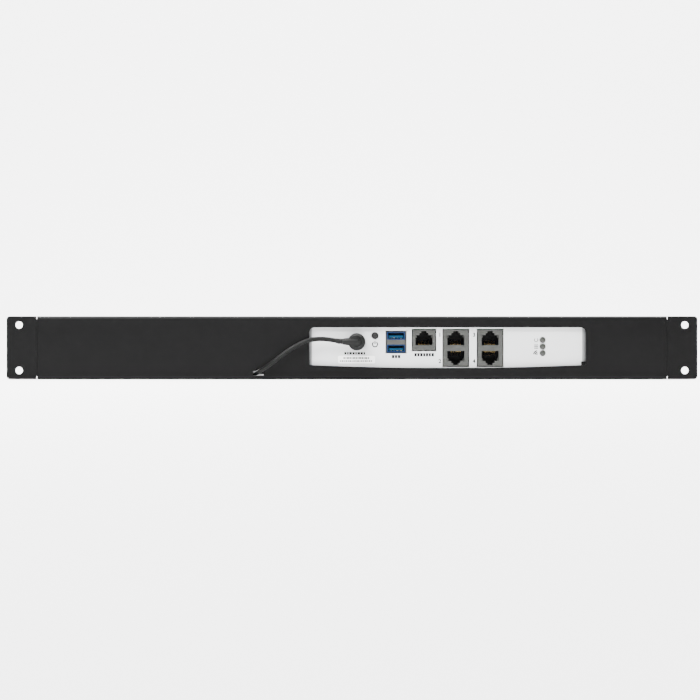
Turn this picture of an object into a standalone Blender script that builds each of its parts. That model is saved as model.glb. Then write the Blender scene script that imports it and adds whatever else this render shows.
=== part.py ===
"""A small firewall appliance held in a one-unit, 19-inch rack tray, with its power adapter and DC lead.

The row's origin is on the surface that the tray stands on, under the middle of the tray. +X is to the
right as seen from the front, the front faces -Y, and +Z is up. Every size and place below is in
millimetres, and the helpers turn them into metres.
"""

import math

import bmesh
import bpy
from mathutils import Vector

MM = 0.001
GAP = 0.3  # between neighbouring pieces
ARC_STEPS = 4  # straight pieces in a quarter turn

# The 19-inch rack's own sizes
PANEL_WIDTH = 482.6
PANEL_HEIGHT = 44.0
EAR_HOLE_X = 232.55
EAR_HOLE_SPACING = 31.75
EAR_HOLE_RADIUS = 2.6

# Rack tray
SHEET = 1.5
FOLD_SHEET = 1.4  # folded edges sit just inside the faces of the sheets they join
FOLD_RADIUS = 2.0  # outside of a fold
TRAY_WIDTH = 440.0
TRAY_DEPTH = 200.0
TOP_FLANGE = 13.0
WALL_HEIGHT = 20.0
WALL_SLOPE = ((18.0, 42.5), (45.0, WALL_HEIGHT))  # distance behind the panel's face, and height
REAR_LIP = 10.0
RELIEF = 0.5  # slot between a fold's end and the ear, and its width
PANEL_CORNER = 2.3
FRONT = -TRAY_DEPTH / 2
PANEL_BACK = FRONT + SHEET

# Window in the panel, with a lower edge that bows down
WINDOW_X = (-30.0, 163.4)
WINDOW_Z = (9.9, 36.2)
WINDOW_SAG = 2.1
WINDOW_CORNER = 3.8

# Cable notch in the panel
NOTCH_X = -65.5
NOTCH_WIDTH = 7.6
NOTCH_Z = (2.7, 7.9)

# Brackets
FOOT_Z = SHEET + GAP  # where what stands on the floor begins
STOP_DEPTH = 19.0
STOP_TOP = 12.4
RETAINER_X = (30.0, 102.0)
RETAINER_FOOT = 20.0
RETAINER_HOOK = 8.0
CLAMP_Y = (18.0, 42.0)
CLAMP_FOOT = 12.0

# Appliance case
CASE_X = (-31.4, 164.4)
CASE_Z = (4.6, 39.6)
CASE_WALL = 1.2
CASE_EDGE = 3.4  # rounding of its outer edges
FACE = PANEL_BACK + 2.4
FACE_WALL = 1.5
BEZEL_BACK = FACE + 12.0
CASE_BACK = FACE + 155.0
BASE_TOP = CASE_Z[0] + 3.5
BOARD_Z = (35.0, 36.6)
BOARD_UNDER = BOARD_Z[0] - GAP  # what hangs from the board ends here

# Ports, buttons and lights on the face
PORT_FRONT = FACE + 0.1
LAN_X = (72.7, 96.7)
LAN_WIDTH = 17.6
LAN_Z = (8.9, BOARD_UNDER)
LAN_DEPTH = 25.0
CONSOLE_X = 50.4
CONSOLE_WIDTH = 16.0
CONSOLE_Z = (20.1, BOARD_UNDER)
CONSOLE_DEPTH = 18.0
SHIELD_WALL = 0.5
JACK_WIDTH = 11.8
JACK_HEIGHT = 6.9
LATCH_STEPS = ((6.2, 1.5), (3.6, 1.4))  # width and height of each step of the latch slot
JACK_UPPER_Z = 23.9  # flat side of the upper ports' openings
JACK_LOWER_Z = 19.7
JACK_POCKET = 14.0
USB_X = (24.1, 37.6)
USB_Z = (18.6, 33.3)
USB_DEPTH = 18.0
USB_SLOT = (12.2, 5.0)
USB_SLOT_Z = (21.5, 30.35)
USB_TONGUE = 1.8
DC_X = 3.3
DC_Z = 26.1
BUTTON_X = 16.1
BUTTON_Z = 30.4
BUTTON_RADIUS = 2.25
BUTTON_PROUD = 1.1
LIGHT_X = 133.5
LIGHT_Z = {"lower": 18.2, "middle": 22.8, "upper": 27.4}
LIGHT_RADIUS = 1.9
CLEAR = 0.6  # round what comes through the face

# Plug and lead
PLUG_RADIUS = 6.1
PLUG_FRONT = FACE - 13.0
BARREL_RADIUS = 2.75
LEAD_Y = FACE - 8.0
LEAD_RADIUS = 1.6
FLOOR_LEAD_Z = FOOT_Z + LEAD_RADIUS

# Power adapter
ADAPTER_X = (-196.0, -144.0)
ADAPTER_Y = (-22.0, 96.0)
ADAPTER_Z = (FOOT_Z, 33.8)
ADAPTER_SPLIT = 12.0
ADAPTER_WALL = 2.0
ADAPTER_EDGE = 3.0
ADAPTER_MIDDLE = sum(ADAPTER_X) / 2
INLET_SIZE = (28.0, 20.0, 22.0)
INLET_RECESS = (24.4, 16.4, 15.0)
INLET_Z = 18.0

# Surplus lead, wound beside the adapter
COIL_CENTRE = (-110.7, -68.0)
COIL_RADII = (12.6, 25.7)
COIL_Z = (2.9, 9.5)
TIE_SHEET = 0.8
TIE_WIDTH = 8.0

# Screws: head radius, head height, shank radius
SCREW = (3.0, 2.0, 1.5)
SCREW_HOLE = SCREW[2] + GAP

COLOURS = {
    "tray_black": ((0.028, 0.028, 0.029), 0.5, 0.0),
    "case_grey": ((0.68, 0.69, 0.70), 0.45, 0.0),
    "shell_grey": ((0.55, 0.56, 0.57), 0.5, 0.0),
    "shield_steel": ((0.42, 0.42, 0.41), 0.35, 1.0),
    "screw_steel": ((0.35, 0.35, 0.36), 0.3, 1.0),
    "black_plastic": ((0.015, 0.015, 0.016), 0.45, 0.0),
    "usb_blue": ((0.010, 0.085, 0.30), 0.4, 0.0),
    "foot_rubber": ((0.03, 0.03, 0.03), 0.8, 0.0),
    "label_white": ((0.80, 0.80, 0.79), 0.5, 0.0),
    "light_smoke": ((0.10, 0.10, 0.085), 0.25, 0.0),
    "button_dark": ((0.07, 0.07, 0.07), 0.5, 0.0),
    "board_green": ((0.02, 0.12, 0.05), 0.4, 0.0),
    "sink_aluminium": ((0.60, 0.60, 0.61), 0.35, 1.0),
    "adapter_black": ((0.02, 0.02, 0.021), 0.5, 0.0),
    "lead_grey": ((0.06, 0.062, 0.06), 0.55, 0.0),
}


# ---- Helpers ------------------------------------------------------------------------------------


def clear_scene():
    for old in list(bpy.data.objects):
        bpy.data.objects.remove(old, do_unlink=True)


def collection(name):
    made = bpy.data.collections.new(name)
    bpy.context.scene.collection.children.link(made)
    return made


def material(slot):
    made = bpy.data.materials.get(slot)
    if made:
        return made
    colour, roughness, metallic = COLOURS[slot]
    made = bpy.data.materials.new(slot)
    made.use_nodes = True
    shader = made.node_tree.nodes["Principled BSDF"]
    shader.inputs["Base Color"].default_value = (*colour, 1.0)
    shader.inputs["Roughness"].default_value = roughness
    shader.inputs["Metallic"].default_value = metallic
    return made


def add(name, data, slot=None):
    """A new object: a part if it has a material slot, and otherwise a cutter or a piece to be joined."""
    made = bpy.data.objects.new(name, data)
    if slot:
        made.data.materials.append(material(slot))
        PARTS.objects.link(made)
    else:
        made.hide_render = True
        made.display_type = "WIRE"
        CUTTERS.objects.link(made)
    return made


def box(name, x, y, z, slot=None, edge=0.0, steps=ARC_STEPS):
    """A box between two values on each axis, with all its edges rounded if edge isn't 0."""
    sizes = [(high - low) * MM for low, high in (x, y, z)]
    mesh = bpy.data.meshes.new(name)
    shape = bmesh.new()
    bmesh.ops.create_cube(shape, size=1.0)
    bmesh.ops.scale(shape, vec=sizes, verts=shape.verts)
    if edge:
        bmesh.ops.bevel(
            shape, geom=shape.edges[:], offset=edge * MM, segments=steps, profile=0.5, affect="EDGES"
        )
    shape.to_mesh(mesh)
    shape.free()
    made = add(name, mesh, slot)
    made.location = [(low + high) / 2 * MM for low, high in (x, y, z)]
    return made


AXIS_TURN = {
    "X": (0.0, math.radians(90), 0.0),
    "Y": (math.radians(-90), 0.0, 0.0),
    "Z": (0.0, 0.0, 0.0),
}


def rod(name, start, axis, length, radius, slot=None, end_radius=None, sides=20):
    """A cylinder or cone from a point along an axis, made with a closed cone primitive."""
    mesh = bpy.data.meshes.new(name)
    shape = bmesh.new()
    far = radius if end_radius is None else end_radius
    bmesh.ops.create_cone(
        shape, cap_ends=True, segments=sides, radius1=radius * MM, radius2=far * MM, depth=length * MM
    )
    bmesh.ops.translate(shape, vec=(0, 0, length * MM / 2), verts=shape.verts)
    shape.to_mesh(mesh)
    shape.free()
    made = add(name, mesh, slot)
    made.location = [value * MM for value in start]
    made.rotation_euler = AXIS_TURN[axis]
    smooth(made)
    return made


def turned(name, profile, centre, axis="Z", flip=False, slot=None, steps=16):
    """A solid of revolution. The profile runs down its outer side as (radius, height) pairs, and it is
    closed if it ends where it starts."""
    mesh = bpy.data.meshes.new(name)
    shape = bmesh.new()
    ring = profile[0] == profile[-1]
    points = [shape.verts.new((r * MM, 0, h * MM)) for r, h in profile[ring:]]
    for a, b in zip(points, points[1:] + points[:ring]):
        shape.edges.new((a, b))
    shape.to_mesh(mesh)
    shape.free()
    made = add(name, mesh, slot)
    made.location = [value * MM for value in centre]
    made.rotation_euler = AXIS_TURN[axis]
    if flip:
        made.rotation_euler.rotate_axis("X", math.pi)
    screw = made.modifiers.new("turn", "SCREW")
    screw.steps = screw.render_steps = steps
    screw.use_merge_vertices = True
    screw.merge_threshold = 0.00001
    screw.use_smooth_shade = False
    return made


def smooth(made):
    made.data.shade_smooth()
    made.data.set_sharp_from_angle(angle=math.radians(40))


def arc(centre, radius, start, end, steps=ARC_STEPS):
    """Points on an arc, with its angles in degrees, both ends included."""
    turns = [math.radians(start + (end - start) * i / steps) for i in range(steps + 1)]
    return [(centre[0] + radius * math.cos(t), centre[1] + radius * math.sin(t)) for t in turns]


def round_rectangle(u, v, radius, steps=ARC_STEPS):
    """A rectangle's outline with round corners, anticlockwise."""
    corners = (
        ((u[1] - radius, v[1] - radius), 0),
        ((u[0] + radius, v[1] - radius), 90),
        ((u[0] + radius, v[0] + radius), 180),
        ((u[1] - radius, v[0] + radius), 270),
    )
    return [point for centre, turn in corners for point in arc(centre, radius, turn, turn + 90, steps)]


def rectangle(u, v):
    return [(u[0], v[0]), (u[1], v[0]), (u[1], v[1]), (u[0], v[1])]


def circle(centre, radius, sides=16):
    return arc(centre, radius, 0, 360, sides)[:-1]


PLANE_TURN = {
    "XY": (0.0, 0.0, 0.0),
    "XZ": (math.radians(90), 0.0, 0.0),
    "YZ": (math.radians(90), 0.0, math.radians(90)),
}
PLANE_NORMAL = {"XY": 2, "XZ": 1, "YZ": 0}


def plate(name, outlines, plane, span, slot=None):
    """A flat sheet in a plane, between two places on its normal. Outlines after the first are holes."""
    curve = bpy.data.curves.new(name, "CURVE")
    curve.dimensions = "2D"
    curve.fill_mode = "BOTH"
    curve.extrude = (span[1] - span[0]) / 2 * MM
    for outline in outlines:
        spline = curve.splines.new("POLY")
        spline.points.add(len(outline) - 1)
        for point, (u, v) in zip(spline.points, outline):
            point.co = (u * MM, v * MM, 0, 1)
        spline.use_cyclic_u = True
    made = bpy.data.objects.new(name, curve)
    made.location[PLANE_NORMAL[plane]] = sum(span) / 2 * MM
    made.rotation_euler = PLANE_TURN[plane]
    return mesh_of(made, slot)


def mesh_of(curve_object, slot=None):
    """A curve object's mesh, with its caps welded, in an object that takes the curve's place."""
    name = curve_object.name
    bpy.context.scene.collection.objects.link(curve_object)
    bpy.context.view_layer.update()
    evaluated = curve_object.evaluated_get(bpy.context.evaluated_depsgraph_get())
    mesh = bpy.data.meshes.new_from_object(evaluated)
    place = curve_object.matrix_world.copy()
    bpy.data.objects.remove(curve_object, do_unlink=True)
    shape = bmesh.new()
    shape.from_mesh(mesh)
    bmesh.ops.remove_doubles(shape, verts=shape.verts, dist=0.000005)
    bmesh.ops.dissolve_limit(shape, angle_limit=0.001, verts=shape.verts, edges=shape.edges)
    bmesh.ops.recalc_face_normals(shape, faces=shape.faces)
    shape.to_mesh(mesh)
    shape.free()
    mesh.materials.clear()
    mesh.name = name
    made = add(name, mesh, slot)
    made.matrix_world = place
    return made


def folded(name, points, plane, span, radius, sheet, slot=None):
    """A folded sheet: the line through its middle, with round corners, drawn out along the normal."""
    line = rounded_line(points, radius)
    mesh = bpy.data.meshes.new(name)
    shape = bmesh.new()
    verts = [shape.verts.new((u * MM, v * MM, -(span[1] - span[0]) / 2 * MM)) for u, v in line]
    edges = [shape.edges.new(pair) for pair in zip(verts, verts[1:])]
    drawn = bmesh.ops.extrude_edge_only(shape, edges=edges)["geom"]
    moved = [item for item in drawn if isinstance(item, bmesh.types.BMVert)]
    bmesh.ops.translate(shape, vec=(0, 0, (span[1] - span[0]) * MM), verts=moved)
    bmesh.ops.recalc_face_normals(shape, faces=shape.faces)
    shape.to_mesh(mesh)
    shape.free()
    made = add(name, mesh, slot)
    made.location[PLANE_NORMAL[plane]] = sum(span) / 2 * MM
    made.rotation_euler = PLANE_TURN[plane]
    solid = made.modifiers.new("sheet", "SOLIDIFY")
    solid.thickness = sheet * MM
    solid.offset = 0.0
    solid.use_even_offset = True
    return made


def rounded_line(points, radius, steps=ARC_STEPS):
    """An open line with each inner corner replaced by an arc of the radius."""
    line = [Vector(points[0])]
    for before, corner, after in zip(points, points[1:], points[2:]):
        inward = (Vector(before) - Vector(corner)).normalized()
        onward = (Vector(after) - Vector(corner)).normalized()
        half = inward.angle(onward) / 2
        reach = radius / math.tan(half)
        middle = Vector(corner) + (inward + onward).normalized() * radius / math.sin(half)
        first = Vector(corner) + inward * reach - middle
        last = Vector(corner) + onward * reach - middle
        line += [middle + radius * first.slerp(last, i / steps) for i in range(steps + 1)]
    line.append(Vector(points[-1]))
    return [tuple(point) for point in line]


def boolean(body, other, operation):
    step = body.modifiers.new(other.name, "BOOLEAN")
    step.operation = operation
    step.solver = "EXACT"
    step.object = other


def cut(body, *cutters):
    for cutter in cutters:
        boolean(body, cutter, "DIFFERENCE")
    return body


def join(body, *others):
    for other in others:
        boolean(body, other, "UNION")
    return body


def smooth_route(points, step):
    """Points a step apart on a smooth curve through the route's points (a centripetal spline)."""
    route = [Vector(point) for point in points]
    ends = [route[0] * 2 - route[1], *route, route[-1] * 2 - route[-2]]
    line = []
    for a, b, c, d in zip(ends, ends[1:], ends[2:], ends[3:]):
        pieces = max(1, round((c - b).length / step))
        line += [spline_point(a, b, c, d, i / pieces) for i in range(pieces)]
    return [*line, route[-1]]


def spline_point(a, b, c, d, t):
    """A point between b and c on the centripetal Catmull-Rom curve through four points."""
    knots = [0.0]
    for before, after in ((a, b), (b, c), (c, d)):
        knots.append(knots[-1] + math.sqrt((after - before).length))
    k0, k1, k2, k3 = knots
    k = k1 + (k2 - k1) * t
    ab = a.lerp(b, (k - k0) / (k1 - k0))
    bc = b.lerp(c, (k - k1) / (k2 - k1))
    cd = c.lerp(d, (k - k2) / (k3 - k2))
    return ab.lerp(bc, (k - k0) / (k2 - k0)).lerp(bc.lerp(cd, (k - k1) / (k3 - k1)), (k - k1) / (k2 - k1))


def tube(name, route, radius, slot, step=5.0):
    """A cord's plain tube along a smooth route."""
    curve = bpy.data.curves.new(name, "CURVE")
    curve.dimensions = "3D"
    curve.bevel_depth = radius * MM
    curve.bevel_resolution = 2
    curve.use_fill_caps = True
    line = smooth_route(route, step)
    spline = curve.splines.new("POLY")
    spline.points.add(len(line) - 1)
    for point, place in zip(spline.points, line):
        point.co = (*(place * MM), 1)
    return add(name, curve, slot)


def pan_screw(name, seat, axis, flip, length):
    """A pan-head screw whose head sits a gap above a seat; the shank goes down the axis from it."""
    head, height, shank = SCREW
    profile = [
        (0.0, GAP + height),
        (head * 0.6, GAP + height),
        (head, GAP + height * 0.45),
        (head, GAP),
        (shank, GAP),
        (shank, -length),
        (0.0, -length),
    ]
    turned(name, profile, seat, axis, flip, "screw_steel", steps=14)


def port_cutter(name, middle, flat_side, up):
    """A modular jack's opening: a rectangle with a stepped slot for the plug's latch."""
    way = 1 if up else -1
    y = (PORT_FRONT - 1, PORT_FRONT + JACK_POCKET)
    height = flat_side + way * JACK_HEIGHT
    x = (middle - JACK_WIDTH / 2, middle + JACK_WIDTH / 2)
    made = box(name, x, y, sorted((flat_side, height)))
    for width, rise in LATCH_STEPS:
        x = (middle - width / 2, middle + width / 2)
        start, height = height - way * 0.5, height + way * rise
        join(made, box(f"{name}_latch", x, y, sorted((start, height))))
    return made


# ---- Rack tray ----------------------------------------------------------------------------------


def ear(side):
    """A panel ear with its two holes; its root lies in the panel, between the two folds' relief cuts."""
    half, fold = PANEL_WIDTH / 2, TRAY_WIDTH / 2
    root, relief = fold - 4.0, fold + RELIEF
    low, high = FOLD_RADIUS + 0.1, PANEL_HEIGHT - FOLD_RADIUS - 0.1
    edge = [
        (root, low),
        (relief, low),
        (relief, 0.0),
        *arc((half - PANEL_CORNER, PANEL_CORNER), PANEL_CORNER, -90, 0),
        *arc((half - PANEL_CORNER, PANEL_HEIGHT - PANEL_CORNER), PANEL_CORNER, 0, 90),
        (relief, PANEL_HEIGHT),
        (relief, high),
        (root, high),
    ]
    rows = [PANEL_HEIGHT / 2 + way * EAR_HOLE_SPACING / 2 for way in (-1, 1)]
    outlines = [edge, *(circle((EAR_HOLE_X, z), EAR_HOLE_RADIUS) for z in rows)]
    outlines = [[(side * u, v) for u, v in outline] for outline in outlines]
    inset = (SHEET - FOLD_SHEET) / 2
    name = "ear_left" if side < 0 else "ear_right"
    return plate(name, outlines, "XZ", (FRONT + inset, PANEL_BACK - inset))


def window_outline():
    left, right = WINDOW_X
    low, high = WINDOW_Z
    half = (right - left) / 2
    bow_radius = (half**2 + WINDOW_SAG**2) / (2 * WINDOW_SAG)
    bow_half = math.degrees(math.asin(half / bow_radius))
    bow_centre = ((left + right) / 2, low - WINDOW_SAG + bow_radius)
    return [
        *arc(bow_centre, bow_radius, 270 - bow_half, 270 + bow_half, 14),
        *arc((right - WINDOW_CORNER, high - WINDOW_CORNER), WINDOW_CORNER, 0, 90),
        *arc((left + WINDOW_CORNER, high - WINDOW_CORNER), WINDOW_CORNER, 90, 180),
    ]


def notch_outline():
    half = NOTCH_WIDTH / 2
    low, high = NOTCH_Z
    return [
        (NOTCH_X - half, low),
        (NOTCH_X + half, low),
        *arc((NOTCH_X, high - half), half, 0, 180, 8),
    ]


def floor_holes():
    """Vent slots under the appliance, tie slots beside the adapter, and the brackets' screw holes."""
    vents = [
        round_rectangle((x - 11, x + 11), (y - 2, y + 2), 1.9, 2)
        for x in range(-6, 150, 36)
        for y in (-50, -20, 10, 40)
    ]
    ties = [round_rectangle((x - 7, x + 7), (y - 2, y + 2), 1.9, 2) for x in (-120, -96) for y in (-20, 40)]
    screws = [circle(place, SCREW_HOLE, 12) for place in floor_screws().values()]
    return plate("floor_holes", [*vents, *ties, *screws], "XY", (-1.0, SHEET + 1.0))


def floor_screws():
    """Where each bracket's screw goes through the floor."""
    return {
        "front_stop_screw_left": (-42.0, -86.0),
        "front_stop_screw_right": (173.0, -86.0),
        "rear_retainer_screw_left": (46.0, 72.0),
        "rear_retainer_screw_right": (86.0, 72.0),
        "adapter_clamp_screw_left": (-204.0, 30.0),
        "adapter_clamp_screw_right": (-136.0, 30.0),
    }


def rack_tray():
    """One folded sheet: top flange, panel, floor and rear lip, with its ears and side walls."""
    middle = SHEET / 2
    line = [
        (FRONT + TOP_FLANGE, PANEL_HEIGHT - middle),
        (FRONT + middle, PANEL_HEIGHT - middle),
        (FRONT + middle, middle),
        (-FRONT - middle, middle),
        (-FRONT - middle, REAR_LIP),
    ]
    half = TRAY_WIDTH / 2
    tray = folded("rack_tray", line, "YZ", (-half, half), FOLD_RADIUS - middle, SHEET, "tray_black")
    through_panel = (FRONT - 2, PANEL_BACK + 1)
    window = plate("window", [window_outline()], "XZ", through_panel)
    notch = plate("notch", [notch_outline()], "XZ", through_panel)
    cut(tray, window, notch, floor_holes())
    for side in (-1, 1):
        x = sorted((side * (half - FOLD_RADIUS - 0.2), side * (half + 5)))
        cut(tray, box("floor_edge", x, (FRONT + 5, -FRONT + 5), (-5, REAR_LIP + 5)))
        join(tray, ear(side), side_wall(side))
    return tray


def side_wall(side):
    """A wall folded up from the floor's edge, taller at the front, where a slope leads up to the panel."""
    outer, top = TRAY_WIDTH / 2 - SHEET / 2, PANEL_HEIGHT - FOLD_RADIUS
    points = [(side * (outer - 8), SHEET / 2), (side * outer, SHEET / 2), (side * outer, top)]
    wall = folded(
        "wall_left" if side < 0 else "wall_right",
        points,
        "XZ",
        (FRONT + 5.5, -FRONT - 3.0),
        FOLD_RADIUS - SHEET / 2,
        FOLD_SHEET,
    )
    far, above = -FRONT + 5, PANEL_HEIGHT + 1
    slope = [(FRONT + y, z) for y, z in WALL_SLOPE]
    outline = [(slope[0][0], above), *slope, (far, WALL_HEIGHT), (far, above)]
    above = plate("above_wall", [outline], "YZ", sorted((side * (outer - 9), side * (outer + 6))))
    return cut(wall, above)


def floor_screw(name):
    x, y = floor_screws()[name]
    pan_screw(name, (x, y, FOOT_Z + CASE_WALL), "Z", False, SHEET + CASE_WALL)


def screw_holes(*names):
    """Cutters for the floor screws' holes in a bracket's foot."""
    places = floor_screws()
    return [rod(name + "_hole", (*places[name], 0.0), "Z", 10.0, SCREW_HOLE, sides=12) for name in names]


def front_stop(name, x, tab_x, screw):
    """An angle bracket: a foot on the floor and a low tab between the panel and the appliance's corner."""
    y = PANEL_BACK + GAP
    foot = box(name, x, (y, y + STOP_DEPTH), (FOOT_Z, FOOT_Z + CASE_WALL), "tray_black")
    tab = box(name + "_tab", tab_x, (y, y + CASE_WALL), (FOOT_Z + 0.4, STOP_TOP))
    cut(join(foot, tab), *screw_holes(screw))


def rear_retainer():
    """A bracket screwed down behind the appliance, with an edge that hooks over its top."""
    low, high = FOOT_Z + CASE_WALL / 2, CASE_Z[1] + GAP + CASE_WALL / 2
    y = CASE_BACK + GAP + CASE_WALL / 2
    line = [(y + RETAINER_FOOT, low), (y, low), (y, high), (y - RETAINER_HOOK, high)]
    made = folded("rear_retainer", line, "YZ", RETAINER_X, 1.6, CASE_WALL, "tray_black")
    cut(made, *screw_holes("rear_retainer_screw_left", "rear_retainer_screw_right"))


def adapter_clamp():
    """A hat-shaped strap over the power adapter, screwed to the floor on both sides."""
    low, high = FOOT_Z + CASE_WALL / 2, ADAPTER_Z[1] + GAP + CASE_WALL / 2
    left, right = ADAPTER_X[0] - GAP - CASE_WALL / 2, ADAPTER_X[1] + GAP + CASE_WALL / 2
    line = [
        (left - CLAMP_FOOT, low),
        (left, low),
        (left, high),
        (right, high),
        (right, low),
        (right + CLAMP_FOOT, low),
    ]
    made = folded("adapter_clamp", line, "XZ", CLAMP_Y, 1.0, CASE_WALL, "tray_black")
    cut(made, *screw_holes("adapter_clamp_screw_left", "adapter_clamp_screw_right"))


# ---- Appliance case -----------------------------------------------------------------------------


def case_part(name, slot, cavity_wall, kept_y, kept_z):
    """One shell of the case: the whole rounded case, hollowed, and cut off beyond the kept ranges."""
    far = 20.0
    x = (CASE_X[0] - far, CASE_X[1] + far)
    y = (FACE - far, CASE_BACK + far)
    z = (CASE_Z[0] - far, CASE_Z[1] + far)
    made = box(name, CASE_X, (FACE, CASE_BACK), CASE_Z, slot, CASE_EDGE)
    cavity = box(
        name + "_cavity",
        (CASE_X[0] + cavity_wall, CASE_X[1] - cavity_wall),
        (FACE + FACE_WALL, CASE_BACK - cavity_wall),
        (CASE_Z[0] + cavity_wall, CASE_Z[1] - cavity_wall),
    )
    cut(made, cavity)
    if kept_y[0] > FACE:
        cut(made, box(name + "_front", x, (y[0], kept_y[0]), z))
    if kept_y[1] < CASE_BACK:
        cut(made, box(name + "_back", x, (kept_y[1], y[1]), z))
    if kept_z[0] > CASE_Z[0]:
        cut(made, box(name + "_below", x, y, (z[0], kept_z[0])))
    if kept_z[1] < CASE_Z[1]:
        cut(made, box(name + "_above", x, y, (kept_z[1], z[1])))
    return made


def front_bezel():
    made = case_part("front_bezel", "case_grey", CASE_WALL + 0.3, (FACE, BEZEL_BACK), CASE_Z)
    through = (FACE - 1, FACE + FACE_WALL + 1)
    half = LAN_WIDTH / 2 + CLEAR
    for side, middle in zip(("left", "right"), LAN_X):
        z = (LAN_Z[0] - CLEAR, LAN_Z[1] + CLEAR)
        cut(made, box(f"lan_{side}_way", (middle - half, middle + half), through, z))
    half = CONSOLE_WIDTH / 2 + CLEAR
    z = (CONSOLE_Z[0] - CLEAR, CONSOLE_Z[1] + CLEAR)
    cut(made, box("console_way", (CONSOLE_X - half, CONSOLE_X + half), through, z))
    cut(made, box("usb_way", widened(USB_X), through, widened(USB_Z)))
    holes = [("dc", DC_X, DC_Z, 4.6), ("button", BUTTON_X, BUTTON_Z, BUTTON_RADIUS + GAP)]
    holes += [(f"light_{name}", LIGHT_X, z, LIGHT_RADIUS + GAP) for name, z in LIGHT_Z.items()]
    for name, x, z, radius in holes:
        cut(made, rod(f"{name}_way", (x, through[0], z), "Y", through[1] - through[0], radius))
    return made


def widened(pair):
    return (pair[0] - CLEAR, pair[1] + CLEAR)


BOARD_SCREWS = {
    "board_screw_front_left": (-22.0, -74.0),
    "board_screw_front_right": (154.0, -74.0),
    "board_screw_rear_left": (-22.0, 46.0),
    "board_screw_rear_right": (154.0, 46.0),
}
CASE_SCREW_X = {"case_screw_left": -12.0, "case_screw_right": 144.0}
CASE_SCREW_Z = 13.0


def case_cover():
    """The upper shell: it carries the board on pressed-in standoffs, and has vents on its sides."""
    back = (BEZEL_BACK + GAP, CASE_BACK)
    made = case_part("case_cover", "shell_grey", CASE_WALL, back, (BASE_TOP + GAP, CASE_Z[1]))
    roof = CASE_Z[1] - CASE_WALL
    for name, place in BOARD_SCREWS.items():
        standoff = rod(name + "_standoff", (*place, BOARD_Z[1] + GAP), "Z", 2.1, 3.2, sides=16)
        depth = roof - BOARD_Z[1] + 1.4
        hole = rod(name + "_bore", (*place, BOARD_Z[1] - 1), "Z", depth, SCREW_HOLE, sides=12)
        cut(join(made, standoff), hole)
    for name, x in CASE_SCREW_X.items():
        cut(made, rod(name + "_bore", (x, CASE_BACK - 6, CASE_SCREW_Z), "Y", 8, SCREW_HOLE, sides=12))
    side_vents = [
        round_rectangle((y - 1.5, y + 1.5), (16.0, 30.0), 1.45, 2) for y in range(-50, 40, 10)
    ]
    for i, outline in enumerate(side_vents):
        cut(made, plate(f"side_vent_{i}", [outline], "YZ", (CASE_X[0] - 5, CASE_X[1] + 5)))
    return made


def case_base():
    """The bottom pan, with two upright tabs inside the rear wall that take the case screws."""
    back = (BEZEL_BACK + GAP, CASE_BACK)
    made = case_part("case_base", "shell_grey", CASE_WALL, back, (CASE_Z[0], BASE_TOP))
    tab_y = (CASE_BACK - 2 * CASE_WALL - GAP, CASE_BACK - CASE_WALL - GAP)
    for name, x in CASE_SCREW_X.items():
        tab = box(name + "_tab", (x - 7, x + 7), tab_y, (CASE_Z[0] + 0.5, CASE_SCREW_Z + 5))
        hole = rod(name + "_tab_bore", (x, CASE_BACK - 6, CASE_SCREW_Z), "Y", 8, SCREW_HOLE, sides=12)
        cut(join(made, tab), hole)
    return made


def feet():
    profile = [(0.0, 2.5), (6.0, 2.5), (6.0, 0.6), (5.4, 0.0), (0.0, 0.0)]
    for row, y in (("front", -68.0), ("rear", 42.0)):
        for side, x in (("left", -12.0), ("right", 144.0)):
            turned(f"foot_{row}_{side}", profile, (x, y, FOOT_Z), slot="foot_rubber")


def rating_label():
    outline = round_rectangle((-9.8, 16.1), (11.0, 16.4), 0.8, 2)
    plate("rating_label", [outline], "XZ", (FACE - 0.35, FACE - 0.1), "label_white")


# ---- Appliance electronics ----------------------------------------------------------------------


def main_board():
    edge = rectangle((CASE_X[0] + 3.4, CASE_X[1] - 3.2), (FACE + 2.6, CASE_BACK - 4.9))
    holes = [circle(place, SCREW_HOLE, 12) for place in BOARD_SCREWS.values()]
    plate("main_board", [edge, *holes], "XY", BOARD_Z, "board_green")
    for name, place in BOARD_SCREWS.items():
        pan_screw(name, (*place, BOARD_Z[0]), "Z", True, BOARD_Z[1] - BOARD_Z[0] + 1.6)


def jack(shield_name, insert_name, middle, width, z, depth, ports):
    """A shielded jack: a metal can with shaped openings, and a plastic block with the ports' pockets."""
    x = (middle - width / 2, middle + width / 2)
    shield = box(shield_name, x, (PORT_FRONT, PORT_FRONT + depth), z, "shield_steel")
    inner_x = (x[0] + SHIELD_WALL, x[1] - SHIELD_WALL)
    inner_z = (z[0] + SHIELD_WALL, z[1] - SHIELD_WALL)
    inner_y = (PORT_FRONT + SHIELD_WALL, PORT_FRONT + depth + 1)
    cut(shield, box(shield_name + "_can", inner_x, inner_y, inner_z))
    block_x = (inner_x[0] + GAP, inner_x[1] - GAP)
    block_z = (inner_z[0] + GAP, inner_z[1] - GAP)
    block_y = (inner_y[0] + GAP, PORT_FRONT + depth - 1)
    insert = box(insert_name, block_x, block_y, block_z, "black_plastic")
    for i, (flat_side, up) in enumerate(ports):
        opening = port_cutter(f"{insert_name}_port_{i}", middle, flat_side, up)
        cut(shield, opening)
        cut(insert, opening)


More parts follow.
